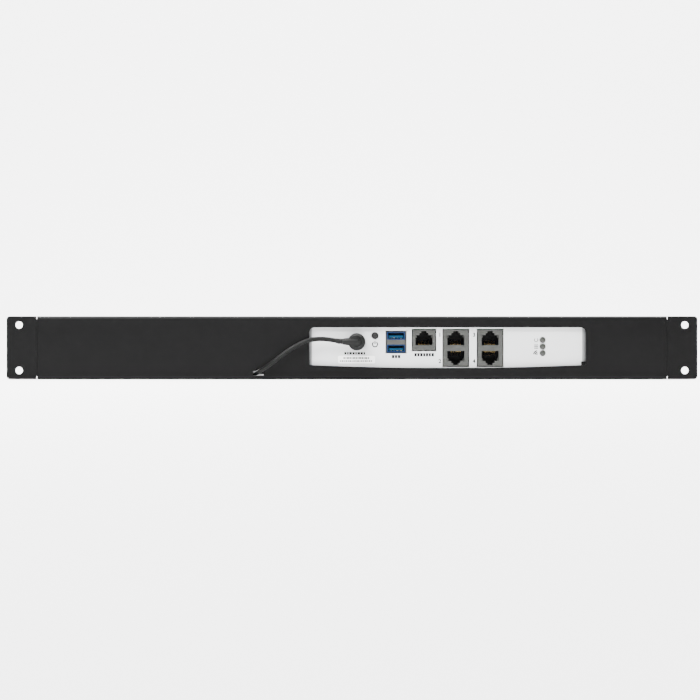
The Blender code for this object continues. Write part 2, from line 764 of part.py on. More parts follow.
def usb_ports():
    """A metal shell with two slots, and a blue insert with a tongue in each."""
    y = (PORT_FRONT, PORT_FRONT + USB_DEPTH)
    middle = sum(USB_X) / 2
    shell = box("usb_shell", USB_X, y, USB_Z, "shield_steel")
    leg_z = (USB_Z[1] - 0.5, BOARD_UNDER)
    join(shell, box("usb_leg", (USB_X[0] + 2, USB_X[1] - 2), (y[0] + 6, y[0] + 14), leg_z))
    half_width, half_height = USB_SLOT[0] / 2, USB_SLOT[1] / 2
    for name, z in zip(("lower", "upper"), USB_SLOT_Z):
        slot_x = (middle - half_width, middle + half_width)
        slot_z = (z - half_height, z + half_height)
        cut(shell, box(f"usb_slot_{name}", slot_x, (y[0] - 1, y[1] - 1), slot_z))
        block_x = (slot_x[0] + GAP, slot_x[1] - GAP)
        block = box(
            f"usb_insert_{name}",
            block_x,
            (y[1] - 6, y[1] - 1 - GAP),
            (slot_z[0] + GAP, slot_z[1] - GAP),
            "usb_blue",
        )
        tongue_z = (z - USB_TONGUE / 2, z + USB_TONGUE / 2)
        tongue_x = (block_x[0] + 0.5, block_x[1] - 0.5)
        join(block, box(f"usb_tongue_{name}", tongue_x, (y[0] + 0.8, y[1] - 5), tongue_z))


def dc_jack():
    nose_back = FACE + FACE_WALL + GAP
    body_x = (DC_X - 5.6, DC_X + 5.6)
    made = box("dc_jack", body_x, (nose_back, FACE + 14), (DC_Z - 5.6, BOARD_UNDER), "black_plastic")
    nose = rod("dc_nose", (DC_X, FACE + 0.3, DC_Z), "Y", nose_back - FACE + 0.7, 4.2)
    bore = rod("dc_bore", (DC_X, FACE - 1, DC_Z), "Y", 12.0, BARREL_RADIUS + GAP)
    cut(join(made, nose), bore)
    rod("dc_jack_pin", (DC_X, FACE + 1.5, DC_Z), "Y", 9.2, 1.0, "screw_steel", sides=12)


def power_button():
    """The button's cap, a collar behind the face that keeps it in, and its stem to the switch."""
    reach = 9.0
    profile = [
        (0.0, BUTTON_PROUD),
        (BUTTON_RADIUS - 0.4, BUTTON_PROUD),
        (BUTTON_RADIUS, BUTTON_PROUD - 0.4),
        (BUTTON_RADIUS, -FACE_WALL - 0.3),
        (3.2, -FACE_WALL - 0.3),
        (3.2, -FACE_WALL - 1.3),
        (1.2, -FACE_WALL - 1.3),
        (1.2, -reach),
        (0.0, -reach),
    ]
    centre = (BUTTON_X, FACE, BUTTON_Z)
    turned("power_button", profile, centre, "Y", True, "button_dark", steps=20)
    body_y = (FACE + 7.0, FACE + 15.0)
    body_x = (BUTTON_X - 3.4, BUTTON_X + 3.4)
    switch = box("power_switch", body_x, body_y, (BUTTON_Z - 3.4, BOARD_UNDER), "black_plastic")
    bore = rod("switch_bore", (BUTTON_X, body_y[0] - 1, BUTTON_Z), "Y", 4.5, 1.6, sides=12)
    cut(switch, bore)


def status_lights():
    """Three light pipes in a holder that hangs from the board."""
    holder_y = (FACE + 8.0, FACE + 14.0)
    z = (LIGHT_Z["lower"] - 3.5, BOARD_UNDER)
    holder = box("status_light_holder", (LIGHT_X - 4, LIGHT_X + 4), holder_y, z, "black_plastic")
    for name, height in LIGHT_Z.items():
        start = (LIGHT_X, FACE - 0.3, height)
        rod(f"status_light_{name}", start, "Y", 13.6, LIGHT_RADIUS, "light_smoke", sides=16)
        cut(holder, rod(f"holder_{name}", (LIGHT_X, FACE, height), "Y", 13.6, LIGHT_RADIUS + GAP, sides=16))


def board_parts():
    """The processor with its heat sink, and the larger parts that hang from the board."""
    top = BOARD_UNDER
    box("processor", (60.0, 85.0), (-30.0, -5.0), (top - 2.0, top), "black_plastic")
    sink_top = top - 2.0 - GAP
    box("memory_chip", (20.0, 34.0), (-28.0, -16.0), (top - 1.2, top), "black_plastic")
    rod("coin_cell", (120.0, 20.0, top - 3.2), "Z", 3.2, 10.0, "shield_steel", sides=28)
    rod("input_capacitor", (0.0, -55.0, top - 12.0), "Z", 12.0, 5.0, "black_plastic", sides=20)
    heat_sink(sink_top)


def heat_sink(top):
    """A finned block: a comb-shaped outline, drawn out along Y."""
    left, pitch, fin, fins = 45.0, 5.2, 1.6, 11
    base, tip = top - 3.0, 13.0
    comb = [(left, top)]
    for i in range(fins):
        x = left + i * pitch
        comb += [(x, tip), (x + fin, tip)]
        if i < fins - 1:
            comb += [(x + fin, base), (x + pitch, base)]
    comb.append((left + (fins - 1) * pitch + fin, top))
    plate("heat_sink", [comb], "XZ", (-44.0, 8.0), "sink_aluminium")


# ---- Power adapter ------------------------------------------------------------------------------


def adapter_shell(name, kept_z):
    far = 20.0
    x = (ADAPTER_X[0] - far, ADAPTER_X[1] + far)
    y = (ADAPTER_Y[0] - far, ADAPTER_Y[1] + far)
    made = box(name, ADAPTER_X, ADAPTER_Y, ADAPTER_Z, "adapter_black", ADAPTER_EDGE)
    hollow = [
        (low + ADAPTER_WALL, high - ADAPTER_WALL) for low, high in (ADAPTER_X, ADAPTER_Y, ADAPTER_Z)
    ]
    cut(made, box(name + "_hollow", *hollow))
    if kept_z[0] > ADAPTER_Z[0]:
        cut(made, box(name + "_below", x, y, (ADAPTER_Z[0] - far, kept_z[0])))
    else:
        cut(made, box(name + "_above", x, y, (kept_z[1], ADAPTER_Z[1] + far)))
    half_width, half_height = INLET_SIZE[0] / 2 + GAP, INLET_SIZE[1] / 2 + GAP
    inlet_x = (ADAPTER_MIDDLE - half_width, ADAPTER_MIDDLE + half_width)
    inlet_y = (ADAPTER_Y[1] - 5, ADAPTER_Y[1] + 5)
    inlet_z = (INLET_Z - half_height, INLET_Z + half_height)
    cut(made, box(name + "_inlet_way", inlet_x, inlet_y, inlet_z))
    way = (ADAPTER_MIDDLE, ADAPTER_Y[0] - 2, ADAPTER_SPLIT)
    return cut(made, rod(name + "_lead_way", way, "Y", 6, 3.0 + GAP, sides=16))


def mains_inlet():
    """An appliance inlet: a block with a recess, and three blades standing in it."""
    width, height, depth = INLET_SIZE
    x = (ADAPTER_MIDDLE - width / 2, ADAPTER_MIDDLE + width / 2)
    z = (INLET_Z - height / 2, INLET_Z + height / 2)
    made = box("mains_inlet", x, (ADAPTER_Y[1] - depth, ADAPTER_Y[1]), z, "black_plastic")
    wide, high, deep = INLET_RECESS
    recess_x = (ADAPTER_MIDDLE - wide / 2, ADAPTER_MIDDLE + wide / 2)
    recess_z = (INLET_Z - high / 2, INLET_Z + high / 2)
    cut(made, box("inlet_recess", recess_x, (ADAPTER_Y[1] - deep, ADAPTER_Y[1] + 1), recess_z))
    for i, (dx, dz) in enumerate(((-7.0, -1.0), (0.0, 4.0), (7.0, -1.0))):
        blade_x = (ADAPTER_MIDDLE + dx - 1, ADAPTER_MIDDLE + dx + 1)
        blade_z = (INLET_Z + dz - 2, INLET_Z + dz + 2)
        join(made, box(f"blade_{i}", blade_x, (ADAPTER_Y[1] - deep - 2, ADAPTER_Y[1] - 2), blade_z))


def adapter():
    adapter_shell("adapter_base", (ADAPTER_Z[0], ADAPTER_SPLIT))
    adapter_shell("adapter_cover", (ADAPTER_SPLIT + GAP, ADAPTER_Z[1]))
    mains_inlet()
    inside_x = (ADAPTER_X[0] + ADAPTER_WALL + 1, ADAPTER_X[1] - ADAPTER_WALL - 1)
    inside_y = (ADAPTER_Y[0] + 12, ADAPTER_Y[1] - INLET_SIZE[2] - 1)
    box("adapter_board", inside_x, inside_y, (5.0, 6.6), "board_green")
    box("adapter_transformer", (-184.0, -156.0), (20.0, 44.0), (6.9, 27.0), "shield_steel", 1.0, 1)


# ---- DC lead ------------------------------------------------------------------------------------

REAR_ROUTE = [
    (-170.0, -44.3, 12.0),
    (-170.0, -53.0, 11.0),
    (-169.9, -62.0, 7.9),
    (-169.0, -70.5, 4.9),
    (-166.0, -77.2, 3.5),
    (-160.9, -81.5, FLOOR_LEAD_Z),
    (-154.4, -83.1, FLOOR_LEAD_Z),
    (-147.9, -81.5, FLOOR_LEAD_Z),
    (-142.7, -77.2, FLOOR_LEAD_Z),
    (-139.8, -71.0, FLOOR_LEAD_Z),
    (-138.9, -64.5, FLOOR_LEAD_Z),
]
FRONT_ROUTE = [
    (-85.6, -56.4, FLOOR_LEAD_Z),
    (-81.2, -65.7, FLOOR_LEAD_Z),
    (-76.6, -75.0, FLOOR_LEAD_Z),
    (-72.2, -84.0, FLOOR_LEAD_Z),
    (-68.5, -92.3, 3.9),
    (-65.4, -99.2, 4.9),
    (-62.2, -103.3, 6.9),
    (-58.0, -105.9, 9.7),
    (-53.4, -107.0, 13.2),
    (-48.5, -107.2, 16.9),
    (-43.7, -106.9, 20.3),
    (-38.1, -106.4, 23.7),
    (-33.3, -105.9, 26.0),
    (-28.6, -105.4, 27.5),
    (-22.3, -104.9, 28.1),
    (-15.4, -104.4, 27.6),
    (-8.3, LEAD_Y, 26.4),
]


def strain_relief():
    """A tapered grommet that the lead leaves the adapter through, with a flange inside the shells."""
    start = ADAPTER_Y[0] + ADAPTER_WALL + GAP
    profile = [
        (0.0, 22.0 + ADAPTER_WALL + GAP),
        (2.2, 22.0 + ADAPTER_WALL + GAP),
        (3.0, ADAPTER_WALL + GAP + 1.0),
        (3.0, 0.0),
        (5.0, 0.0),
        (5.0, -2.0),
        (0.0, -2.0),
    ]
    centre = (ADAPTER_MIDDLE, start, ADAPTER_SPLIT)
    turned("lead_strain_relief", profile, centre, "Y", True, "lead_grey")


def lead_coil():
    """The outer shape of the wound surplus, and the strap round its bundle of turns."""
    inner, outer = COIL_RADII
    low, high = COIL_Z
    corner = 1.5
    profile = [
        (inner, low + corner),
        (inner, high - corner),
        (inner + corner, high),
        (outer - corner, high),
        (outer, high - corner),
        (outer, low + corner),
        (outer - corner, low),
        (inner + corner, low),
        (inner, low + corner),
    ]
    turned("dc_lead_coil", profile, (*COIL_CENTRE, 0.0), slot="lead_grey", steps=28)
    x = (COIL_CENTRE[0] + inner - 1.2, COIL_CENTRE[0] + outer + GAP)
    y = (COIL_CENTRE[1] - TIE_WIDTH / 2, COIL_CENTRE[1] + TIE_WIDTH / 2)
    z = (low - GAP, high + GAP)
    hole = round_rectangle(x, z, 1.0, 2)
    around = [(pair[0] - TIE_SHEET, pair[1] + TIE_SHEET) for pair in (x, z)]
    outline = round_rectangle(*around, 1.6, 2)
    plate("coil_tie", [outline, hole], "XZ", y, "foot_rubber")


def dc_plug():
    """A right-angle barrel plug: its head, the barrel in the jack, and a short tapered neck."""
    back = FACE - 0.5
    corner = 1.6
    length = back - PLUG_FRONT
    profile = [
        (0.0, length),
        (PLUG_RADIUS - corner, length),
        (PLUG_RADIUS - corner * 0.3, length - corner * 0.3),
        (PLUG_RADIUS, length - corner),
        (PLUG_RADIUS, 0.4),
        (PLUG_RADIUS - 0.4, 0.0),
        (BARREL_RADIUS, 0.0),
        (BARREL_RADIUS, -10.0),
        (1.4, -10.0),
        (1.4, -0.2),
        (0.0, -0.2),
    ]
    made = turned("dc_plug", profile, (DC_X, back, DC_Z), "Y", True, "lead_grey", steps=28)
    neck = rod("plug_neck", (-8.0, LEAD_Y, DC_Z + 0.25), "X", 8.0, 2.0, end_radius=2.8)
    join(made, neck)


# ---- The whole unit -----------------------------------------------------------------------------


def build():
    rack_tray()
    front_stop("front_stop_left", (-52.0, -33.0), (-42.0, -30.3), "front_stop_screw_left")
    front_stop("front_stop_right", (165.0, 181.0), (160.2, 172.0), "front_stop_screw_right")
    rear_retainer()
    adapter_clamp()
    for name in floor_screws():
        floor_screw(name)
    front_bezel()
    case_cover()
    case_base()
    feet()
    rating_label()
    for name, x in CASE_SCREW_X.items():
        pan_screw(name, (x, CASE_BACK, CASE_SCREW_Z), "Y", False, 4.5)
    main_board()
    upper, lower = (JACK_UPPER_Z, True), (JACK_LOWER_Z, False)
    console = ("console_shield", "console_insert")
    jack(*console, CONSOLE_X, CONSOLE_WIDTH, CONSOLE_Z, CONSOLE_DEPTH, [upper])
    for side, middle in zip(("left", "right"), LAN_X):
        names = (f"lan_shield_{side}", f"lan_insert_{side}")
        jack(*names, middle, LAN_WIDTH, LAN_Z, LAN_DEPTH, [upper, lower])
    usb_ports()
    dc_jack()
    power_button()
    status_lights()
    board_parts()
    adapter()
    strain_relief()
    tube("dc_lead_rear", REAR_ROUTE, LEAD_RADIUS, "lead_grey")
    lead_coil()
    tube("dc_lead_front", FRONT_ROUTE, LEAD_RADIUS, "lead_grey")
    dc_plug()


clear_scene()
PARTS = collection("firewall_appliance")
CUTTERS = collection("cutters")
build()
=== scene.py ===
"""The looks of a small firewall appliance in its rack tray, with its power adapter and DC lead.

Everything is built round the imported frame, in its coordinates: +X to the right seen from the front, the
front facing -Y, +Z up. Sizes and places below are in millimetres, and the helpers turn them into metres.
"""

import math

import bmesh
import bpy
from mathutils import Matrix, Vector


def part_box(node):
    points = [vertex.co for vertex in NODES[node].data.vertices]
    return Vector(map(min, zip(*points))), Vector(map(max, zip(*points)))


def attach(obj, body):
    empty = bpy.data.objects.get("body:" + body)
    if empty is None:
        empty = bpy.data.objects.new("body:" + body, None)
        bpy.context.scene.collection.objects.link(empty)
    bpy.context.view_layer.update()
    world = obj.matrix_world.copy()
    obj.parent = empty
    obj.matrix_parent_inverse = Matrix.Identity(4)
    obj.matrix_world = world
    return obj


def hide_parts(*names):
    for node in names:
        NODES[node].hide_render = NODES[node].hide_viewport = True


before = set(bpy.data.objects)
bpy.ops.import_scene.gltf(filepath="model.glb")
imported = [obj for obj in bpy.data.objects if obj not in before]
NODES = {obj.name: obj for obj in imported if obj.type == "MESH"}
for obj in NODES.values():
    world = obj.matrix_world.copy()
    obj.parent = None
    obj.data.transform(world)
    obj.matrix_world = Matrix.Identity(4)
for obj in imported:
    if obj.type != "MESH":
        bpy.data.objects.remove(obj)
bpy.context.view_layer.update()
MM = 0.001


def span(node):
    """A CAD node's range on each axis, in millimetres."""
    low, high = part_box(node)
    return [(a / MM, b / MM) for a, b in zip(low, high)]


# Places read from the frame
FACE = span("front_bezel")[1][0]
PANEL = span("rack_tray")
SHIELD_FRONT = span("lan_shield_left")[1][0]
PLUG = span("dc_plug")
RELIEF = span("lead_strain_relief")
COIL = span("dc_lead_coil")
BUTTON = span("power_button")
LABEL = span("rating_label")

WELD = 0.002 * MM  # points nearer than this are one
FRONT_WAY = (0, -1, 0)

# The camera: square on to the panel's face, which almost fills the picture's width
LENS = 120.0
SENSOR = 36.0
PICTURE_WIDTH = 488.9  # seen at the panel's face
CAMERA_X = -1.4
CAMERA_Z = 20.4

# The lead
LEAD_RADIUS = 1.6
LEAD_STEP = 2.2  # between the points of its smooth line
FLOOR_LEAD_Z = 3.4
LEAD_Y = -104.1
TURN_PITCH = 3.3  # between turns that lie side by side
LAYER_PITCH = 3.4
SLEEVE = 4.2  # how far the plug's tapered sleeve reaches along the lead
TURNS = 4  # in each of the coil's two layers
COIL_START = 173.0  # degrees, where the lead comes in
COIL_END = 24.8
REAR_ROUTE = [
    (-170.0, -44.3, 12.0),
    (-170.0, -53.0, 11.0),
    (-169.9, -62.0, 7.9),
    (-169.0, -70.5, 4.9),
    (-166.0, -77.2, 3.5),
    (-160.9, -81.5, FLOOR_LEAD_Z),
    (-154.4, -83.1, FLOOR_LEAD_Z),
    (-147.9, -81.5, FLOOR_LEAD_Z),
    (-142.7, -77.2, FLOOR_LEAD_Z),
    (-139.8, -71.0, FLOOR_LEAD_Z),
    (-138.9, -64.5, FLOOR_LEAD_Z),
]
FRONT_ROUTE = [
    (-85.6, -56.4, FLOOR_LEAD_Z),
    (-81.2, -65.7, FLOOR_LEAD_Z),
    (-76.6, -75.0, FLOOR_LEAD_Z),
    (-72.2, -84.0, FLOOR_LEAD_Z),
    (-68.5, -92.3, 3.9),
    (-65.4, -99.2, 4.9),
    (-62.2, -103.3, 6.9),
    (-58.0, -105.9, 9.7),
    (-53.4, -107.0, 13.2),
    (-48.5, -107.2, 16.9),
    (-43.7, -106.9, 20.3),
    (-38.1, -106.4, 23.7),
    (-33.3, -105.9, 26.0),
    (-28.6, -105.4, 27.5),
    (-22.3, -104.9, 28.1),
    (-15.4, -104.4, 27.6),
    (-8.3, LEAD_Y, 26.4),
]


# ---- Camera, light and floor --------------------------------------------------------------------


def camera():
    data = bpy.data.cameras.new("camera")
    data.lens = LENS
    data.sensor_width = SENSOR
    data.clip_start, data.clip_end = 0.05, 50.0
    made = bpy.data.objects.new("camera", data)
    distance = PICTURE_WIDTH * LENS / SENSOR
    made.location = [value * MM for value in (CAMERA_X, PANEL[1][0] - distance, CAMERA_Z)]
    made.rotation_euler = (math.radians(90), 0.0, 0.0)
    bpy.context.scene.collection.objects.link(made)
    bpy.context.scene.camera = made


def softbox(name, place, aim, size, power):
    """A rectangular area light, in metres and watts, turned towards a point."""
    data = bpy.data.lights.new(name, "AREA")
    data.shape = "RECTANGLE"
    data.size, data.size_y = size
    data.energy = power
    made = bpy.data.objects.new(name, data)
    made.location = place
    made.rotation_euler = (Vector(aim) - Vector(place)).to_track_quat("-Z", "Y").to_euler()
    bpy.context.scene.collection.objects.link(made)


def stage():
    """A pale sweep: a floor that turns up into a wall far behind."""
    near, far, rise, wall, side = -6.0, 3.0, 1.5, 5.0, 6.0
    line = [(near, 0.0), (far - rise, 0.0)]
    line += [
        (far - rise + rise * math.sin(math.radians(a)), rise - rise * math.cos(math.radians(a)))
        for a in range(9, 91, 9)
    ]
    line.append((far, wall))
    shape = bmesh.new()
    rows = [[shape.verts.new((x, y, z)) for y, z in line] for x in (-side, side)]
    for a, b, c, d in zip(rows[0], rows[0][1:], rows[1], rows[1][1:]):
        shape.faces.new((a, c, d, b))
    mesh = bpy.data.meshes.new("stage")
    shape.to_mesh(mesh)
    shape.free()
    mesh.shade_smooth()
    floor = bpy.data.objects.new("stage", mesh)
    floor.location.z = -0.2 * MM  # clear of the tray's underside
    bpy.context.scene.collection.objects.link(floor)
    paper = bpy.data.materials.new("stage_paper")
    paper.use_nodes = True
    shader = paper.node_tree.nodes["Principled BSDF"]
    shader.inputs["Base Color"].default_value = (0.93, 0.93, 0.93, 1.0)
    shader.inputs["Roughness"].default_value = 0.9
    mesh.materials.append(paper)


def lights():
    softbox("key", (-0.7, -1.5, 1.25), (0.0, 0.0, 0.0), (1.4, 0.8), 110.0)
    softbox("top", (0.0, -0.25, 1.5), (0.0, 0.0, 0.0), (2.4, 0.5), 130.0)
    softbox("fill", (1.2, -1.6, 0.6), (0.0, 0.0, 0.0), (1.2, 1.2), 5.0)
    softbox("rear", (0.3, 1.3, 1.6), (0.0, 0.0, 0.0), (1.6, 1.0), 40.0)
    softbox("sweep", (0.0, 1.6, 2.6), (0.0, 3.0, 0.8), (5.0, 1.0), 400.0)
    world = bpy.data.worlds.new("studio")
    world.use_nodes = True
    world.node_tree.nodes["Background"].inputs["Color"].default_value = (1.0, 1.0, 1.0, 1.0)
    world.node_tree.nodes["Background"].inputs["Strength"].default_value = 0.4
    bpy.context.scene.world = world


# ---- Materials ----------------------------------------------------------------------------------


class Look:
    """A node-based material: one Principled shader, with textures in object coordinates."""

    def __init__(self, name, slot, colour, roughness, metallic=0.0, **sockets):
        self.slot = slot
        self.colour = colour
        self.roughness = roughness
        self.material = bpy.data.materials.new(name)
        self.material.use_nodes = True
        self.nodes = self.material.node_tree.nodes
        self.links = self.material.node_tree.links
        self.shader = self.nodes["Principled BSDF"]
        self.shader.inputs["Base Color"].default_value = (*colour, 1.0)
        self.shader.inputs["Roughness"].default_value = roughness
        self.shader.inputs["Metallic"].default_value = metallic
        for socket, value in sockets.items():
            self.shader.inputs[socket.replace("_", " ")].default_value = value
        self.place = self.nodes.new("ShaderNodeTexCoord").outputs["Object"]
        self.normal = None

    def grain(self, size, detail=2.0, stretch=(1.0, 1.0, 1.0), kind="noise"):
        """A texture's value, with features about a size in millimetres, longer along a stretched axis."""
        mapping = self.nodes.new("ShaderNodeMapping")
        mapping.inputs["Scale"].default_value = [1.0 / (size * MM * s) for s in stretch]
        self.links.new(self.place, mapping.inputs["Vector"])
        kinds = {"noise": "ShaderNodeTexNoise", "cells": "ShaderNodeTexVoronoi", "wave": "ShaderNodeTexWave"}
        texture = self.nodes.new(kinds[kind])
        texture.inputs["Scale"].default_value = 1.0
        if kind != "cells":
            texture.inputs["Detail"].default_value = detail
        self.links.new(mapping.outputs["Vector"], texture.inputs["Vector"])
        return texture.outputs["Distance" if kind == "cells" else "Fac"]

    def mottle(self, amount, size, **grain):
        """Makes the colour lighter and darker by an amount."""
        ramp = self.nodes.new("ShaderNodeValToRGB")
        ramp.color_ramp.elements[0].position, ramp.color_ramp.elements[1].position = 0.3, 0.7
        for element, way in zip(ramp.color_ramp.elements, (-1, 1)):
            element.color = (*[c * (1 + way * amount) for c in self.colour], 1.0)
        self.links.new(self.grain(size, **grain), ramp.inputs["Fac"])
        self.links.new(ramp.outputs["Color"], self.shader.inputs["Base Color"])
        return self

    def polish(self, amount, size, **grain):
        """Makes the roughness swing by an amount either way."""
        swing = self.nodes.new("ShaderNodeMapRange")
        swing.inputs["From Min"].default_value, swing.inputs["From Max"].default_value = 0.3, 0.7
        swing.inputs["To Min"].default_value = max(0.02, self.roughness - amount)
        swing.inputs["To Max"].default_value = min(1.0, self.roughness + amount)
        self.links.new(self.grain(size, **grain), swing.inputs["Value"])
        self.links.new(swing.outputs["Result"], self.shader.inputs["Roughness"])
        return self

    def bump(self, depth, size, strength=1.0, **grain):
        """Adds relief of a depth in millimetres to what is there already."""
        node = self.nodes.new("ShaderNodeBump")
        node.inputs["Distance"].default_value = depth * MM
        node.inputs["Strength"].default_value = strength
        self.links.new(self.grain(size, **grain), node.inputs["Height"])
        if self.normal:
            self.links.new(self.normal, node.inputs["Normal"])
        self.normal = node.outputs["Normal"]
        self.links.new(self.normal, self.shader.inputs["Normal"])
        return self


def make_looks():
    looks = {}

    def look(name, slot, *facts, **sockets):
        looks[name] = Look(name, slot, *facts, **sockets)
        return looks[name]

    powder = look("powder_coat", "tray_black", (0.0016, 0.0016, 0.0017), 0.38, Specular_IOR_Level=0.085)
    powder.mottle(0.16, 0.7, detail=3.0).polish(0.02, 9.0, detail=4.0)
    powder.bump(0.035, 0.9, 0.55, detail=1.0).bump(0.012, 0.25, 0.5)
    face = look("face_plastic", "case_grey", (0.54, 0.545, 0.55), 0.42)
    face.mottle(0.012, 18.0, detail=3.0).polish(0.05, 14.0, detail=3.0).bump(0.006, 0.22, 0.45)
    # The face's turned outer edge: the face's plastic made a darker grey, as painted shade.
    edge = look("face_edge_painted_shade", "case_grey", (0.20, 0.202, 0.205), 0.5, Specular_IOR_Level=0.3)
    edge.mottle(0.06, 1.5, detail=3.0).polish(0.06, 3.0).bump(0.006, 0.22, 0.45)
    paint = look("shell_paint", "shell_grey", (0.42, 0.428, 0.435), 0.44)
    paint.mottle(0.02, 25.0).polish(0.05, 12.0, detail=3.0).bump(0.02, 0.8, 0.4, detail=1.0)
    tin = look("plated_steel", "shield_steel", (0.060, 0.061, 0.058), 0.42, 1.0)
    tin.mottle(0.14, 1.6, detail=4.0, stretch=(5.0, 1.0, 1.0)).polish(0.10, 2.5, detail=4.0)
    tin.bump(0.004, 0.15, 0.4, stretch=(9.0, 1.0, 1.0))
    zinc = look("screw_zinc", "screw_steel", (0.42, 0.425, 0.43), 0.32, 1.0)
    zinc.mottle(0.12, 0.8, detail=3.0).polish(0.10, 1.2, detail=3.0).bump(0.004, 0.2, 0.4)
    gold = look("contact_gold", "screw_steel", (0.80, 0.56, 0.22), 0.28, 1.0)
    gold.mottle(0.08, 0.6).polish(0.08, 1.0)
    moulded = look("jack_plastic", "black_plastic", (0.004, 0.004, 0.0044), 0.5, Specular_IOR_Level=0.08)
    moulded.mottle(0.15, 2.0).polish(0.08, 3.0).bump(0.006, 0.2, 0.4)
    blue = look("usb_plastic", "usb_blue", (0.0008, 0.013, 0.050), 0.42, Specular_IOR_Level=0.12)
    blue.mottle(0.10, 1.5).polish(0.06, 2.0).bump(0.004, 0.2, 0.3)
    # The tongue: the liner's blue plastic, made paler as a painted highlight.
    tongue = look("usb_tongue_painted_highlight", "usb_blue", (0.003, 0.030, 0.065), 0.4, Specular_IOR_Level=0.05)
    tongue.mottle(0.08, 1.5).polish(0.06, 2.0)
    rubber = look("foot_rubber", "foot_rubber", (0.022, 0.022, 0.022), 0.82)
    rubber.mottle(0.2, 1.0).bump(0.02, 0.4, 0.5)
    strap = look("strap_fabric", "foot_rubber", (0.020, 0.020, 0.022), 0.9, Sheen_Weight=0.35)
    strap.mottle(0.35, 0.5, detail=4.0).bump(0.10, 0.45, 0.8, kind="cells").bump(0.05, 0.18, 0.6, detail=4.0)
    film = look("label_film", "label_white", (0.84, 0.84, 0.83), 0.36)
    film.mottle(0.015, 6.0).polish(0.05, 5.0).bump(0.004, 1.2, 0.3)
    ink = look("printed_ink", "button_dark", (0.003, 0.003, 0.0033), 0.5, Specular_IOR_Level=0.08)
    ink.mottle(0.25, 0.25, detail=3.0).polish(0.08, 0.5)
    pale_ink = look("pale_ink", "button_dark", (0.06, 0.06, 0.063), 0.5, Specular_IOR_Level=0.15)
    pale_ink.mottle(0.15, 0.25, detail=3.0).polish(0.08, 0.5)
    smoke = look("light_pipe", "light_smoke", (0.012, 0.0135, 0.010), 0.34)
    smoke.mottle(0.2, 1.2, detail=3.0).polish(0.06, 1.0)
    button = look("button_plastic", "button_dark", (0.009, 0.009, 0.009), 0.48, Specular_IOR_Level=0.15)
    button.mottle(0.12, 1.0).polish(0.06, 1.0).bump(0.006, 0.25, 0.5)
    board = look("solder_mask", "board_green", (0.018, 0.11, 0.045), 0.36)
    board.mottle(0.35, 2.0, detail=3.0, kind="wave").bump(0.02, 2.0, 0.5, kind="wave")
    extrusion = look("extruded_aluminium", "sink_aluminium", (0.60, 0.60, 0.61), 0.36, 1.0)
    extrusion.mottle(0.08, 0.8, detail=3.0, stretch=(1.0, 20.0, 1.0))
    extrusion.polish(0.08, 2.0, stretch=(1.0, 9.0, 1.0))
    brick = look("adapter_plastic", "adapter_black", (0.009, 0.009, 0.0095), 0.52, Specular_IOR_Level=0.3)
    brick.mottle(0.16, 1.5, detail=3.0).polish(0.06, 9.0, detail=3.0)
    brick.bump(0.03, 0.5, 0.6, kind="cells").bump(0.01, 0.2, 0.5)
    pvc = look("lead_pvc", "lead_grey", (0.0032, 0.0034, 0.0032), 0.40, Specular_IOR_Level=0.09)
    pvc.mottle(0.10, 2.5, detail=3.0).polish(0.07, 4.0, detail=3.0).bump(0.012, 0.4, 0.45)
    plug = look("plug_pvc", "lead_grey", (0.0034, 0.0036, 0.0034), 0.42, Specular_IOR_Level=0.12)
    plug.mottle(0.14, 1.2, detail=3.0).polish(0.08, 2.0, detail=3.0).bump(0.02, 0.35, 0.5)
    return looks


# ---- Mesh helpers -------------------------------------------------------------------------------


def loose(name, data):
    made = bpy.data.objects.new(name, data)
    bpy.context.scene.collection.objects.link(made)
    return made


def shaped(name, shape):
    """An object made of a finished bmesh."""
    mesh = bpy.data.meshes.new(name)
    shape.to_mesh(mesh)
    shape.free()
    return loose(name, mesh)


def welded(mesh):
    """Closes a mesh's seams and turns its faces outwards."""
    shape = bmesh.new()
    shape.from_mesh(mesh)
    bmesh.ops.remove_doubles(shape, verts=shape.verts, dist=WELD)
    bmesh.ops.recalc_face_normals(shape, faces=shape.faces)
    shape.to_mesh(mesh)
    shape.free()
    return mesh


def settle(made):
    """Gives an object the mesh that its modifiers make of it. A curve becomes a mesh object."""
    bpy.context.view_layer.update()
    evaluated = made.evaluated_get(bpy.context.evaluated_depsgraph_get())
    mesh = bpy.data.meshes.new_from_object(evaluated)
    mesh.transform(made.matrix_world)
    if made.type != "MESH":
        name = made.name
        bpy.data.objects.remove(made, do_unlink=True)
        return loose(name, mesh)
    made.modifiers.clear()
    made.data = mesh
    made.location, made.rotation_euler = (0, 0, 0), (0, 0, 0)
    return made


def piece(made, look, edge=0.0, segments=2, stands_for=(), body="chassis", angle=38):
    """Breaks a piece's edges, shades it, gives it its look and hangs it on its body."""
    if edge:
        bevel = made.modifiers.new("edge", "BEVEL")
        bevel.width = edge * MM
        bevel.segments = segments
        bevel.limit_method = "ANGLE"
        bevel.angle_limit = math.radians(angle)
        bevel.use_clamp_overlap = False
        bevel.miter_outer = "MITER_ARC"
    settle(made)
    made.data.shade_smooth()
    made.data.set_sharp_from_angle(angle=math.radians(angle))
    weighted = made.modifiers.new("normals", "WEIGHTED_NORMAL")
    weighted.keep_sharp = True
    made.data.materials.clear()
    made.data.materials.append(LOOKS[look].material)
    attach(made, body)
    if stands_for:
        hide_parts(*stands_for)
    return made


def cad_copy(node):
    """A copy of a CAD node with its flat faces joined, and those of many sides cut up evenly."""
    shape = bmesh.new()
    shape.from_mesh(NODES[node].data)
    bmesh.ops.remove_doubles(shape, verts=shape.verts, dist=WELD)
    bmesh.ops.dissolve_limit(
        shape, angle_limit=math.radians(0.6), verts=shape.verts, edges=shape.edges
    )
    many_sided = [face for face in shape.faces if len(face.verts) > 4]
    bmesh.ops.triangulate(shape, faces=many_sided)
    return shaped(node + "_fine", shape)


def refined(node, look, edge, segments=2):
    """A CAD node's own shape with its edges broken, in the node's place."""
    return piece(cad_copy(node), look, edge, segments, (node,))


